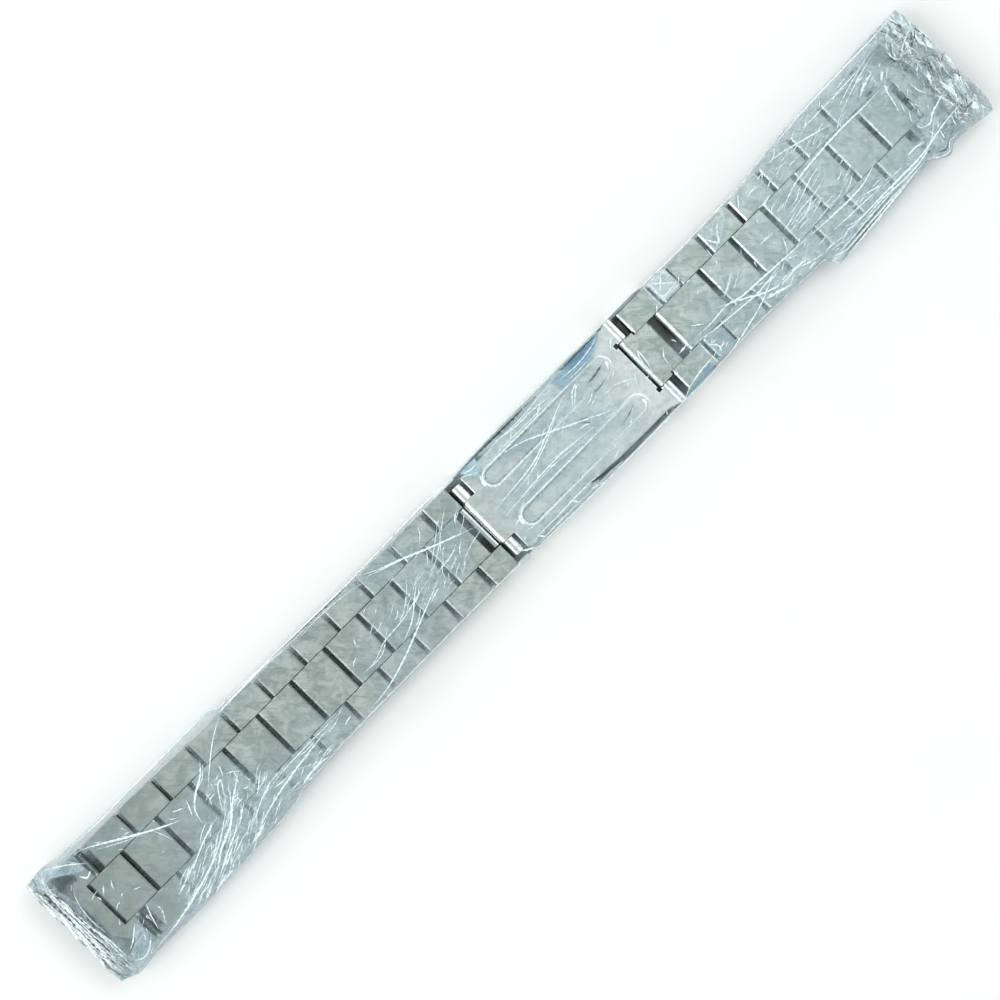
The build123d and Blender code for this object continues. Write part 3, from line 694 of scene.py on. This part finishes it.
# Dark lines of painted shade, in the same form: in folds, along the blade's rims and beside its rings
shade_creases = (
    (0.50, 0.9, (-4.6, 8.30), (0.0, 8.34), (6.0, 8.32), (12.5, 8.30)),
    (0.45, 0.9, (17.0, 8.36), (22.0, 8.38), (26.8, 8.36)),
    (0.5, 0.8, (-92.3, 4.0), (-92.6, 1.0), (-92.3, -3.5)),
    (0.4, 0.8, (-94.9, 9.6), (-94.0, 8.2), (-93.4, 6.0)),
    (0.35, 0.8, (-94.6, 8.4), (-93.9, 6.6), (-93.6, 4.4)),
    (0.3, 0.7, (-93.4, -1.0), (-92.9, -4.0), (-92.5, -6.4)),
    (0.3, 0.7, (-94.6, -3.0), (-94.1, -5.6), (-93.4, -7.8)),
    (0.4, 0.6, (-86.4, -5.0), (-85.6, -6.4), (-86.0, -8.4)),
    (0.3, 0.6, (-85.4, -4.6), (-84.8, -6.0), (-85.2, -7.6)),
    (0.3, 0.8, (-44.0, 8.5), (-34.0, 8.35), (-26.5, 8.2)),
    (0.5, 0.75, (19.5, 3.8), (21.5, 4.0), (23.4, 4.4)),
    (0.35, 0.6, (19.0, 2.2), (21.0, 2.2), (22.8, 2.6)),
    (0.3, 0.55, (19.0, -4.5), (21.0, -4.1), (22.8, -3.4)),
    (0.25, 0.6, (14.2, 1.0), (15.6, 0.4), (16.4, -0.6)),
    (0.25, 0.6, (14.4, 0.4), (15.2, -0.2), (15.9, -1.0)),
    (0.3, 0.8, (3.4, 8.4), (4.6, 7.9)),
    (0.3, 0.8, (6.4, 8.45), (8.0, 8.0), (9.4, 8.4)),
    (0.3, 0.8, (10.2, 8.45), (11.6, 8.1), (13.0, 8.4)),
    (0.35, 0.8, (62.8, -10.8), (70.0, -10.3), (77.0, -9.7)),
    (0.3, 0.8, (63.4, -10.1), (70.0, -9.6), (76.0, -9.2)),
    (0.4, 0.8, (85.6, -9.6), (87.4, -10.4), (88.6, -9.4)),
    (0.3, 0.8, (91.2, 7.4), (91.1, 5.4), (91.8, 4.4)),
    (0.5, 0.8, (94.6, 5.0), (96.2, 5.7), (97.6, 6.6)),
    (0.4, 0.8, (97.4, 7.4), (97.9, 5.4), (98.0, 3.6)),
    (0.35, 0.7, (94.5, 3.6), (94.9, 1.6), (94.6, -0.4)),
    (0.35, 0.7, (96.4, 1.0), (96.0, -2.0), (96.3, -4.2)),
    (0.35, 0.7, (92.6, -8.6), (94.4, -8.0), (96.4, -8.2)),
)

# Zones of small creases: ends along, ends across, how many, heading, its spread, usual length
crumpled_zones = (
    (-95.0, -92.2, -9.5, 10.0, 46, 1.57, 0.35, 2.4),
    (-91.5, -84.5, -10.0, 9.5, 20, 0.9, 0.5, 1.2),
    (-84.0, -70.0, -4.0, 8.0, 9, -0.7, 0.4, 1.1),
    (-80.0, -68.0, -10.2, -5.0, 58, 0.42, 0.10, 2.8),
    (-72.0, -58.0, -9.4, -2.0, 62, 0.55, 0.13, 2.6),
    (-68.0, -60.0, -3.5, 2.0, 26, 0.9, 0.6, 1.2),
    (-58.0, -42.0, -8.6, -4.6, 26, 0.1, 0.14, 2.4),
    (-40.0, -19.0, -4.0, 7.5, 10, 0.45, 0.25, 1.2),
    (-32.0, -17.0, -3.6, 1.8, 18, 0.42, 0.12, 2.2),
    (-19.0, -9.0, -3.0, 7.0, 24, 0.7, 0.2, 1.9),
    (-5.0, 22.0, -8.0, 8.0, 34, 0.15, 0.35, 1.8),
    (22.0, 37.0, -8.5, 8.5, 14, 0.9, 0.4, 1.1),
    (37.0, 41.5, 4.6, 8.4, 12, 0.9, 1.2, 1.2),
    (37.0, 60.0, -8.6, -4.0, 40, 0.1, 0.3, 1.9),
    (42.0, 62.0, -3.0, 8.0, 18, 0.7, 0.35, 1.4),
    (60.0, 74.0, -3.5, 3.0, 34, 0.22, 0.10, 2.6),
    (62.0, 86.0, -10.5, -6.0, 60, 0.0, 0.14, 2.6),
    (62.0, 88.0, 4.5, 9.0, 38, 0.2, 0.2, 2.0),
    (86.0, 91.5, -9.5, 9.5, 30, 0.9, 0.6, 1.5),
    (91.5, 98.0, -10.0, 10.5, 80, 1.35, 0.45, 2.4),
)

# Folded layers of film, and dark patches of painted shade: the body they lie on, tone, cover, then their
# corners
tabs = (
    ("end_left", pale_blue, 0.9, (-91.7, 8.9), (-91.4, 10.2), (-89.6, 10.1), (-87.6, 8.7),
     (-86.8, 7.2), (-86.8, 5.9), (-88.2, 6.6), (-90.0, 7.8)),
    ("end_left", painted_shade_tone, 0.45, (-91.8, 8.6), (-89.9, 7.6), (-88.6, 6.6), (-88.9, 5.6),
     (-90.6, 6.4), (-91.6, 5.0), (-92.0, 6.5)),
    ("end_left", painted_shade_tone, 0.5, (-91.9, 4.2), (-91.2, 2.6), (-91.1, 0.0), (-91.2, -3.6),
     (-91.9, -4.6), (-92.2, -1.0)),
    ("end_left", painted_shade_tone, 0.75, (-86.7, 8.6), (-85.6, 8.7), (-85.5, 6.2), (-85.7, 4.4),
     (-86.6, 4.3), (-86.8, 6.8)),
    ("end_left", painted_shade_tone, 0.7, (-86.7, -8.7), (-85.6, -8.6), (-85.5, -6.8), (-85.7, -4.6),
     (-86.6, -4.4), (-86.9, -6.2)),
    ("end_left", pale_blue, 0.8, (-92.0, -9.6), (-91.2, -7.9), (-89.4, -7.0), (-87.4, -5.0),
     (-86.9, -5.6), (-87.2, -7.6), (-87.8, -8.8), (-89.6, -10.0), (-91.0, -10.3)),
    ("inner_blade", painted_shade_tone, 0.9, (9.0, -7.3), (11.0, -7.4), (14.5, -7.8), (26.8, -7.95),
     (26.8, -8.35), (14.0, -8.35), (11.0, -8.0), (9.2, -7.6)),
    ("inner_blade", sky, 0.85, (-4.4, 8.1), (-1.0, 8.3), (-1.6, 6.4), (-2.6, 5.8), (-3.4, 6.5)),
    ("inner_blade", cyan, 0.7, (16.0, 8.2), (16.5, 6.0), (20.5, 5.9), (24.2, 6.6), (26.4, 8.0),
     (26.8, 8.4)),
    ("inner_blade", blue, 0.85, (18.0, 8.4), (19.5, 7.3), (22.5, 6.9), (24.8, 7.3), (26.9, 8.4)),
    ("inner_blade", white_fold, 0.5, (-0.8, 8.3), (0.2, 7.2), (8.0, 7.2), (15.8, 6.5), (15.8, 8.3)),
    ("inner_blade", white_fold, 0.5, (-4.6, -8.3), (-4.6, -7.3), (8.5, -7.3), (10.4, -7.8),
     (10.0, -8.3)),
    ("inner_blade", pale_blue, 0.5, (0.5, 6.0), (3.5, 5.9), (8.5, 3.9), (12.0, 1.9), (9.5, 2.6),
     (4.0, 4.2)),
    ("inner_blade", pale_blue, 0.5, (-3.0, 0.3), (2.0, 0.7), (1.5, -0.2), (-3.0, -0.3)),
    ("inner_blade", pale_blue, 0.25, (11.0, 2.2), (15.0, 0.8), (20.0, -1.2), (22.0, -2.0),
     (16.0, -1.8), (13.0, 0.4)),
    ("inner_blade", pale_blue, 0.22, (-1.0, -1.9), (7.0, -1.2), (14.0, -1.8), (11.0, -3.8),
     (1.0, -3.6)),
    ("clasp_cover", deep_blue, 0.75, (15.0, -8.2), (15.0, -8.7), (26.6, -8.7), (26.6, -8.2)),
    ("tongue", cyan, 0.6, (29.4, -8.7), (31.0, -7.6), (35.9, -7.2), (35.9, -8.3), (33.0, -8.7)),
    ("bridge", white_fold, 0.75, (37.2, 8.1), (41.2, 8.1), (41.3, 4.4), (37.3, 4.4)),
    ("bridge", pale_blue, 0.75, (37.4, -8.0), (41.2, -8.0), (41.2, -4.7), (37.4, -4.4)),
    ("right_02", white_fold, 0.5, (50.4, 8.1), (54.6, 8.1), (53.5, 6.6), (51.4, 5.4), (50.4, 4.8)),
    ("right_02", white_fold, 0.55, (52.0, -7.9), (57.2, -7.9), (57.2, -6.5), (55.0, -6.2),
     (53.0, -6.6)),
)


def curve_through(points, step=0.3):
    """Evenly spaced points on a smooth curve through the given ones."""
    ends = [2 * Vector(points[0]) - Vector(points[1]), 2 * Vector(points[-1]) - Vector(points[-2])]
    knots = [ends[0], *(Vector(p) for p in points), ends[1]]
    path = []
    for before, start, end, after in zip(knots, knots[1:], knots[2:], knots[3:]):
        count = max(2, round((end - start).length / step))
        for n in range(count):
            t = n / count
            path.append(
                0.5 * (2 * start + (end - before) * t + (2 * before - 5 * start + 4 * end - after) * t * t
                       + (3 * start - before - 3 * end + after) * t ** 3)
            )
    path.append(knots[-2])
    return path


folds = random.Random(21)
strand_top = 10.4
strand_length = 20.2


def small_crease(x_low, x_high, y_low, y_high, heading, spread, usual):
    """A short crease, slightly bent, somewhere in a zone."""
    place = Vector((folds.uniform(x_low, x_high), folds.uniform(y_low, y_high)))
    angle = heading + folds.gauss(0, spread)
    length = usual * folds.uniform(0.5, 1.6)
    ahead = Vector((math.cos(angle), math.sin(angle))) * length / 2
    aside = Vector((-ahead.y, ahead.x)) * folds.uniform(-0.22, 0.22)
    path = curve_through((place - ahead, place + aside, place + ahead), 0.25)
    # Near the crumpled ends some creases are dark: painted shade of the folds
    dark = folds.random() < 0.3 * crumple(place.x)
    return folds.uniform(0.14, 0.36), folds.uniform(0.5, 1.0), path, dark


def end_strand(dark):
    """A strand of bunched film across the left end, from corner to corner."""
    top, foot = folds.uniform(-95.0, -92.3), folds.uniform(-94.2, -92.0)
    route = []
    for share in (0, 0.15, 0.35, 0.5, 0.7, 0.85, 1):
        sway = folds.uniform(-0.35, 0.35) * math.sin(math.pi * share)
        route.append((top + (foot - top) * share + sway, strand_top - strand_length * share))
    return folds.uniform(0.18, 0.48), folds.uniform(0.8, 1.0), curve_through(route), dark


# The blade's two raised rings: middle, distance from the middle line, half length, step and two radii
ring_middle = 11.0
ring_offset = 4.2
ring_straight = 11.95
ring_step = 0.3
bead_radius = 1.62
inner_radius = 1.24


def ring_line(side, radius):
    """The plan of a ring's line: its right end and one straight, then the same turned half round."""
    turns = [math.radians(degrees) for degrees in range(-90, 91, 9)]
    half = [(ring_straight + radius * math.cos(turn), radius * math.sin(turn)) for turn in turns]
    count = round(2 * ring_straight / ring_step)
    half += [(ring_straight - ring_step * n, radius) for n in range(1, count)]
    whole = half + [(-x, -y) for x, y in half]
    return [Vector((ring_middle + x, side * ring_offset + y)) for x, y in whole]


def film_rim(side):
    """The film's own edge, from one end to the other in steps of half a millimetre."""
    places = [n / 2 for n in range(int(2 * film_start), int(2 * film_end) + 1)]
    return [Vector((x, side * (outline(x, side)[1] - rim_inset))) for x in places]


# Every line on the film: width, strength, path, and if it is dark, a line of painted shade
ribbons = [
    (width, strength, curve_through(points), dark)
    for lines, dark in ((creases, False), (shade_creases, True))
    for width, strength, *points in lines
]
for *zone, count, heading, spread, usual in crumpled_zones:
    ribbons += [small_crease(*zone, heading, spread, usual) for _ in range(count)]
# Every fifth strand is dark: painted shade between the strands
ribbons += [end_strand(n % 5 == 4) for n in range(18)]
# Along each of the blade's rings: a white line on the bead, partly the film's crease and partly painted
# highlight, and a dark line inside it, painted shadow
for side in (1, -1):
    ribbons.append((0.34, 1.0, ring_line(side, bead_radius), False))
    ribbons.append((0.26, 0.55, ring_line(side, inner_radius), True))
# A white line along the film's own edge, partly its fold and partly painted highlight
for side in (1, -1):
    ribbons.append((0.36, 0.95, film_rim(side), False))

# The haze round each crease, at every fifth point: place, weight and reach
haze_weight = 0.42
haze_reach = 0.8
haze_far = 4
veil_width = 12
haze_sources = [
    (point, strength * width * haze_weight, haze_reach + width)
    for width, strength, path, _ in ribbons
    for point in path[::5]
]


def sources_near(low, high):
    """The sources of haze that reach a stretch of film."""
    return [source for source in haze_sources if low - haze_far < source[0].x < high + haze_far]


def haze_at(x, y, sources):
    """How cloudy the film is near its creases."""
    total = 0.0
    for place, weight, reach in sources:
        away = ((x - place[0]) ** 2 + (y - place[1]) ** 2) / (reach * reach)
        if away < 6:
            total += weight * math.exp(-away)
    return 1 - math.exp(-total)


def veil_at(x, y):
    """How cloudy the film is by itself."""
    upper = min(max(0.5 + y / veil_width, 0.0), 1.0)
    return between(film_veil, x, 2) * (1 - upper) + between(film_veil, x, 1) * upper


def film_mesh(name, vertices, faces, haze, tones, material, smooth=True):
    """A mesh from sizes in millimetres, with how much of the film shows and its tone at each point."""
    mesh = bpy.data.meshes.new(name)
    mesh.from_pydata([[v * MM for v in vertex] for vertex in vertices], [], faces)
    mesh.attributes.new("haze", "FLOAT", "POINT").data.foreach_set("value", haze)
    colours = [part for tone in tones for part in (*tone, 1.0)]
    mesh.attributes.new("tone", "FLOAT_COLOR", "POINT").data.foreach_set("color", colours)
    mesh.materials.append(material)
    if smooth:
        mesh.shade_smooth()
    piece = bpy.data.objects.new(name, mesh)
    scene.collection.objects.link(piece)
    return piece


def grid_faces(columns, across):
    """The faces between columns of points, each with so many points across."""
    return [
        (c * across + r, (c + 1) * across + r, (c + 1) * across + r + 1, c * across + r + 1)
        for c in range(columns)
        for r in range(across - 1)
    ]


def front_profile(x):
    """The film's section at x: over the metal, out to its edges and down the sides."""
    points = []
    for step in range(-over_steps - skirt_steps, over_steps + skirt_steps + 1):
        side = 1 if step > 0 else -1
        half, edge = outline(x, side)
        over = abs(step) / over_steps
        if over <= 1:
            points.append((side * edge * over, film_height(x, side * edge * over)))
        else:
            under = (abs(step) - over_steps) / skirt_steps
            high = film_height(x, side * edge)
            points.append((side * (edge - (edge - half - 0.1) * under), high + (skirt_low - high) * under))
    return points


def sleeve_profile(x):
    """The film's section all round: the front, the back under the links, and the first point again."""
    points = front_profile(x)
    reach = outline(x, 1)[0] - back_inset
    for step in range(back_points):
        y = reach * (1 - step / back_steps)
        points.append((y, back_level - back_ripple * ripple(x, y)))
    points.append(points[0])
    return points


def blade_profile(x):
    """The film's section over the blade, turned down at its rims, short of the clasp's walls."""
    points = []
    for step in range(-over_steps, over_steps + 1):
        y = blade_film_half * step / over_steps
        level = film_height(x, 0.0) - rim_drop if abs(step) == over_steps else film_height(x, y)
        points.append((y, level))
    return points


def wall_profile(side):
    """The film's section over one wall of the clasp, as a function of x."""
    def section(x):
        half, edge = outline(x, side)
        reach = (blade_film_half + 0.1, half - 0.1, edge, edge, edge - 0.05, half + 0.12)
        heights = (3.35, wall_level, 3.3, 2.6, 1.7, skirt_low)
        return [(side * y, z) for y, z in zip(reach, heights)]
    return section


def film_sheet(name, start, end, profile, sources):
    """The film between two places along the bracelet."""
    columns = max(2, round((end - start) / column_length))
    vertices, haze, tones = [], [], []
    for column in range(columns + 1):
        x = start + (end - start) * column / columns
        for n, (y, z) in enumerate(profile(x)):
            behind = front_points <= n < front_points + back_points
            rim = rim_haze if abs(y) > outline(x, y)[0] else 0.0
            cloud = haze_at(x, y, sources) + veil_at(x, y) + crumple_haze * crumple(x) + rim
            vertices.append((x, y, max(z, film_lowest)))
            haze.append(back_haze if behind else min(1.0, cloud))
            # Painted shade: the back layer takes the dark back tone
            tones.append([back_shade_tone] * 3 if behind else clear)
    return film_mesh(name, vertices, grid_faces(columns, len(profile(start))), haze, tones, film_plastic)


# The creases' ribs: reach past a piece's end, half width and rise as shares, lift off the film
rib_overlap = 0.35
rib_half = 0.62
rib_rise = 0.4
rib_lift = 0.03


def film_creases(name, start, end, inner=0.0, outer=99.0):
    """The creases between two places, and between inner and outer across, as raised ribs on the film:
    white ones partly painted highlight, dark ones painted shade.
    """
    vertices, faces, haze, tones = [], [], [], []
    flicker = random.Random(name)
    for width, strength, path, dark in ribbons:
        last = None
        for n, point in enumerate(path):
            if not start <= point.x <= end + rib_overlap or not inner <= abs(point.y) <= outer:
                last = None
                continue
            ahead = path[min(n + 1, len(path) - 1)] - path[max(n - 1, 0)]
            aside = Vector((-ahead.y, ahead.x)).normalized()
            along = math.sin(math.pi * (n + 0.35) / (len(path) + 0.35)) ** 0.5
            wide = width * along * (0.85 + 0.25 * math.sin(1.9 * n + width * 40)) * rib_half
            first = len(vertices)
            for offset in (-1, 0, 1):
                spot = point + aside * wide * offset
                edge = outline(spot.x, spot.y)[1]
                spot.y = min(max(spot.y, -edge), edge)
                over_film = film_height(spot.x, spot.y) + bunched_rise * crumple(spot.x)
                level = wall_level if inner else over_film
                rise = rib_rise * wide if offset == 0 else 0
                vertices.append((spot.x, spot.y, level + rib_lift + rise))
            haze += [0.0, strength * along * flicker.uniform(0.75, 1.0), 0.0]
            # Dark lines take the tone of painted shade
            tones += [painted_shade_tone if dark else clear] * 3
            if last is not None:
                faces += [(last, first, first + 1, last + 1), (last + 1, first + 1, first + 2, last + 2)]
            last = first
    return film_mesh(name, vertices, faces, haze, tones, crease_plastic)


# A folded layer's rings of points: how far out they lie, and their share of its cover
tab_rings = ((1.0, 0.55), (0.88, 1.0), (0.45, 0.85))
tab_lift = 0.05


def film_tabs(body):
    """The folded layers of film, and the dark patches of painted shade, that lie on one body."""
    vertices, faces, haze, tones = [], [], [], []
    for carrier, tone, cover, *corners in tabs:
        if carrier == body:
            middle = sum((Vector(corner) for corner in corners), Vector((0, 0))) / len(corners)
            first = len(vertices)
            for outward, share in tab_rings:
                for corner in corners:
                    spot = middle + (Vector(corner) - middle) * outward
                    level = wall_level if body == "clasp_cover" else film_height(spot.x, spot.y)
                    vertices.append((spot.x, spot.y, level + tab_lift))
                    haze.append(cover * share)
                    tones.append(tone)
            count = len(corners)
            for ring in range(len(tab_rings) - 1):
                for n in range(count):
                    a = first + ring * count + n
                    b = first + ring * count + (n + 1) % count
                    faces.append((a, b, b + count, a + count))
            faces.append(range(len(vertices) - count, len(vertices)))
    return film_mesh(f"film_folds_and_shade_{body}", vertices, faces, haze, tones, tab_plastic)


def bunched_end(name, inner, outer, wide, long, darkest):
    """The bunched film past the metal's end: a sheet of small flat facets, turned every which way."""
    jitter = random.Random(name)
    columns, rows = round(abs(outer - inner) / wide), round(film_width / long)
    vertices, haze, tones = [], [], []
    for column in range(columns + 1):
        for row in range(rows + 1):
            x = inner + (outer - inner) * column / columns
            x += jitter.uniform(-0.45, 0.45) * wide * (0 < column < columns)
            lower, upper = -outline(x, -1)[1], outline(x, 1)[1]
            y = lower + (upper - lower) * row / rows
            y += jitter.uniform(-0.45, 0.45) * long * (0 < row < rows)
            lift = jitter.uniform(-0.15, 0.9) * bunched_rise
            vertices.append((x, y, max(film_height(x, y) + lift, 2 * film_lowest)))
            haze.append(jitter.uniform(0.3, 1.0) * min(1.0, 0.35 * column))
            tones.append([jitter.uniform(darkest, 1.0)] * 3)
    faces = []
    for column in range(columns):
        for row in range(rows):
            a = column * (rows + 1) + row
            b = a + rows + 1
            if jitter.random() < 0.5:
                faces += [(a, b, b + 1), (a, b + 1, a + 1)]
            else:
                faces += [(a, b, a + 1), (b, b + 1, a + 1)]
    return film_mesh(name, vertices, faces, haze, tones, bunched_plastic, smooth=False)


def film_under_lugs():
    """The film's back under the cover's lugs, darkened as painted shade."""
    across = range(-lug_film_half, lug_film_half + 1)
    along = [lug_film_start + lug_film_step * column for column in range(lug_film_columns + 1)]
    plan = [(x, y) for x in along for y in across]
    vertices = [(x, y, lug_film_level + lug_film_ripple * ripple(x, y)) for x, y in plan]
    faces = grid_faces(lug_film_columns, len(across))
    haze = [back_haze] * len(plan)
    tones = [[back_shade_tone] * 3] * len(plan)
    return film_mesh("film_under_lugs", vertices, faces, haze, tones, film_plastic)


def bending_stretches(bodies, first, last):
    """Each pair of neighbouring bodies with its pin and the ends of the film that bends between them."""
    pairs = list(zip(bodies, bodies[1:]))
    pins = [joint_x.get((a, b), joint_x.get((b, a))) for a, b in pairs]
    cuts = [first, *((p + q) / 2 for p, q in zip(pins, pins[1:])), last]
    return [(a, b, pin, low, high) for (a, b), pin, low, high in zip(pairs, pins, cuts, cuts[1:])]


# The film over the two chains of links
left_chain = ["end_left", *(f"left_{n:02d}" for n in range(10, 0, -1)), "clasp_link", "clasp_cover"]
right_chain = ["inner_blade", "tongue", "bridge", *(f"right_{n:02d}" for n in range(1, 7)), "end_right"]
stretches = bending_stretches(left_chain, film_start, film_split)
stretches += bending_stretches(right_chain, blade_film_end, film_end)
for a, b, pin, low, high in stretches:
    profile = front_profile if {a, b} & {"clasp_cover", "tongue"} else sleeve_profile
    sheet = film_sheet(f"film_{a}_{b}", low, high, profile, sources_near(low, high))
    ribs = film_creases(f"creases_{a}_{b}", low, high)
    for piece in (sheet, ribs):
        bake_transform(piece)

# Folded layers and patches of painted shade, and the bunched ends
for body in dict.fromkeys(tab[0] for tab in tabs):
    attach(film_tabs(body), body)
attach(bunched_end("film_bunched_left", metal_ends[0] + 0.6, film_start, 0.45, 2.0, 0.3), "end_left")
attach(bunched_end("film_bunched_right", metal_ends[1] - 1.6, film_end, 0.8, 1.8, 0.55), "end_right")

# The film over the clasp, parted along the blade
near = sources_near(film_split, blade_film_end)
over_blade = film_sheet("film_blade", film_split + film_seam, blade_film_end, blade_profile, near)
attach(over_blade, "inner_blade")
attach(film_creases("creases_blade", film_split, blade_film_end, 0.0, blade_film_half), "inner_blade")
for side, word in ((1, "upper"), (-1, "lower")):
    wall = film_sheet(f"film_wall_{word}", film_split, blade_film_end, wall_profile(side), near)
    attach(wall, "clasp_cover")
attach(film_under_lugs(), "clasp_cover")
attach(film_creases("creases_walls", film_split, blade_film_end, blade_film_half, 99.0), "clasp_cover")

# Floor
bpy.ops.mesh.primitive_plane_add(size=6, location=(0, 0, -0.00002))
floor = bpy.context.object
floor.name = "floor"
paper = Shader("floor_paper")
spot = paper.node("TexCoord").outputs["Object"]
dust = paper.span(paper.noise(spot, 40, 4.0), 0.3, 0.7)
paper_tone = paper.mix(dust, (0.90, 0.90, 0.90, 1), (0.93, 0.93, 0.925, 1))
paper_shade = paper.node("BsdfPrincipled", Roughness=0.75, Base_Color=paper_tone)
floor.data.materials.append(paper.finish(paper_shade))


def soft_light(name, place, size, power, colour):
    """A soft rectangular light that faces the middle of the bracelet."""
    light = bpy.data.lights.new(name, "AREA")
    light.shape = "RECTANGLE"
    light.size, light.size_y = size
    light.energy = power
    light.color = colour
    lamp = bpy.data.objects.new(name, light)
    scene.collection.objects.link(lamp)
    lamp.location = place
    lamp.rotation_euler = (-Vector(place)).to_track_quat("-Z", "Y").to_euler()


soft_light("left_softbox", (-1.00, 0.25, 0.80), (0.9, 0.9), 7.0, (0.98, 1.0, 0.99))
soft_light("right_softbox", (0.80, 0.10, 0.80), (0.9, 0.9), 4.4, (0.94, 0.98, 1.0))
soft_light("left_strip", (-0.62, 0.05, 0.16), (0.3, 0.5), 1.1, (1, 1, 1))

# A studio with brighter walls along both sides of the bracelet, and a brighter patch straight above it
world = bpy.data.worlds.new("studio")
world.use_nodes = True
walls = world.node_tree
background = walls.nodes["Background"]
background.inputs["Color"].default_value = (0.94, 0.98, 0.965, 1)
view = walls.nodes.new("ShaderNodeSeparateXYZ")
walls.links.new(walls.nodes.new("ShaderNodeTexCoord").outputs["Generated"], view.inputs[0])


def wall_step(value, low, high, to_low, to_high):
    """A smooth step from to_low to to_high as the value goes from low to high."""
    n = walls.nodes.new("ShaderNodeMapRange")
    n.interpolation_type = "SMOOTHSTEP"
    walls.links.new(value, n.inputs["Value"])
    for key, v in {"From Min": low, "From Max": high, "To Min": to_low, "To Max": to_high}.items():
        n.inputs[key].default_value = v
    return n.outputs[0]


def wall_math(operation, a, b):
    """The result of a Math node among the world's nodes."""
    n = walls.nodes.new("ShaderNodeMath")
    n.operation = operation
    for socket, value in zip(n.inputs, (a, b)):
        if isinstance(value, float):
            socket.default_value = value
        else:
            walls.links.new(value, socket)
    return n.outputs[0]


low_down = wall_step(view.outputs[2], 0.55, 0.80, 1.0, 0.0)
far_side = wall_step(view.outputs[1], 0.35, 0.60, 0.0, 1.05)
near_side = wall_step(view.outputs[1], -0.60, -0.35, 0.75, 0.0)
overhead = wall_step(view.outputs[2], 0.88, 0.99, 0.0, 0.25)
both_sides = wall_math("MULTIPLY", low_down, wall_math("ADD", far_side, near_side))
glow = wall_math("ADD", wall_math("ADD", both_sides, overhead), 0.40)
walls.links.new(glow, background.inputs["Strength"])
scene.world = world
scene.view_settings.view_transform = "Standard"

# The camera, nearly overhead and nearer the lower left end
camera_data = bpy.data.cameras.new("camera")
camera_data.sensor_width = 36
camera_data.lens = 76.41
camera_data.clip_start = 0.01
camera = bpy.data.objects.new("camera", camera_data)
scene.collection.objects.link(camera)
camera.location = (-0.0350, 0.0070, 0.3314)
camera.rotation_euler = Euler((0.0563, -0.0823, -0.7917))
scene.camera = camera
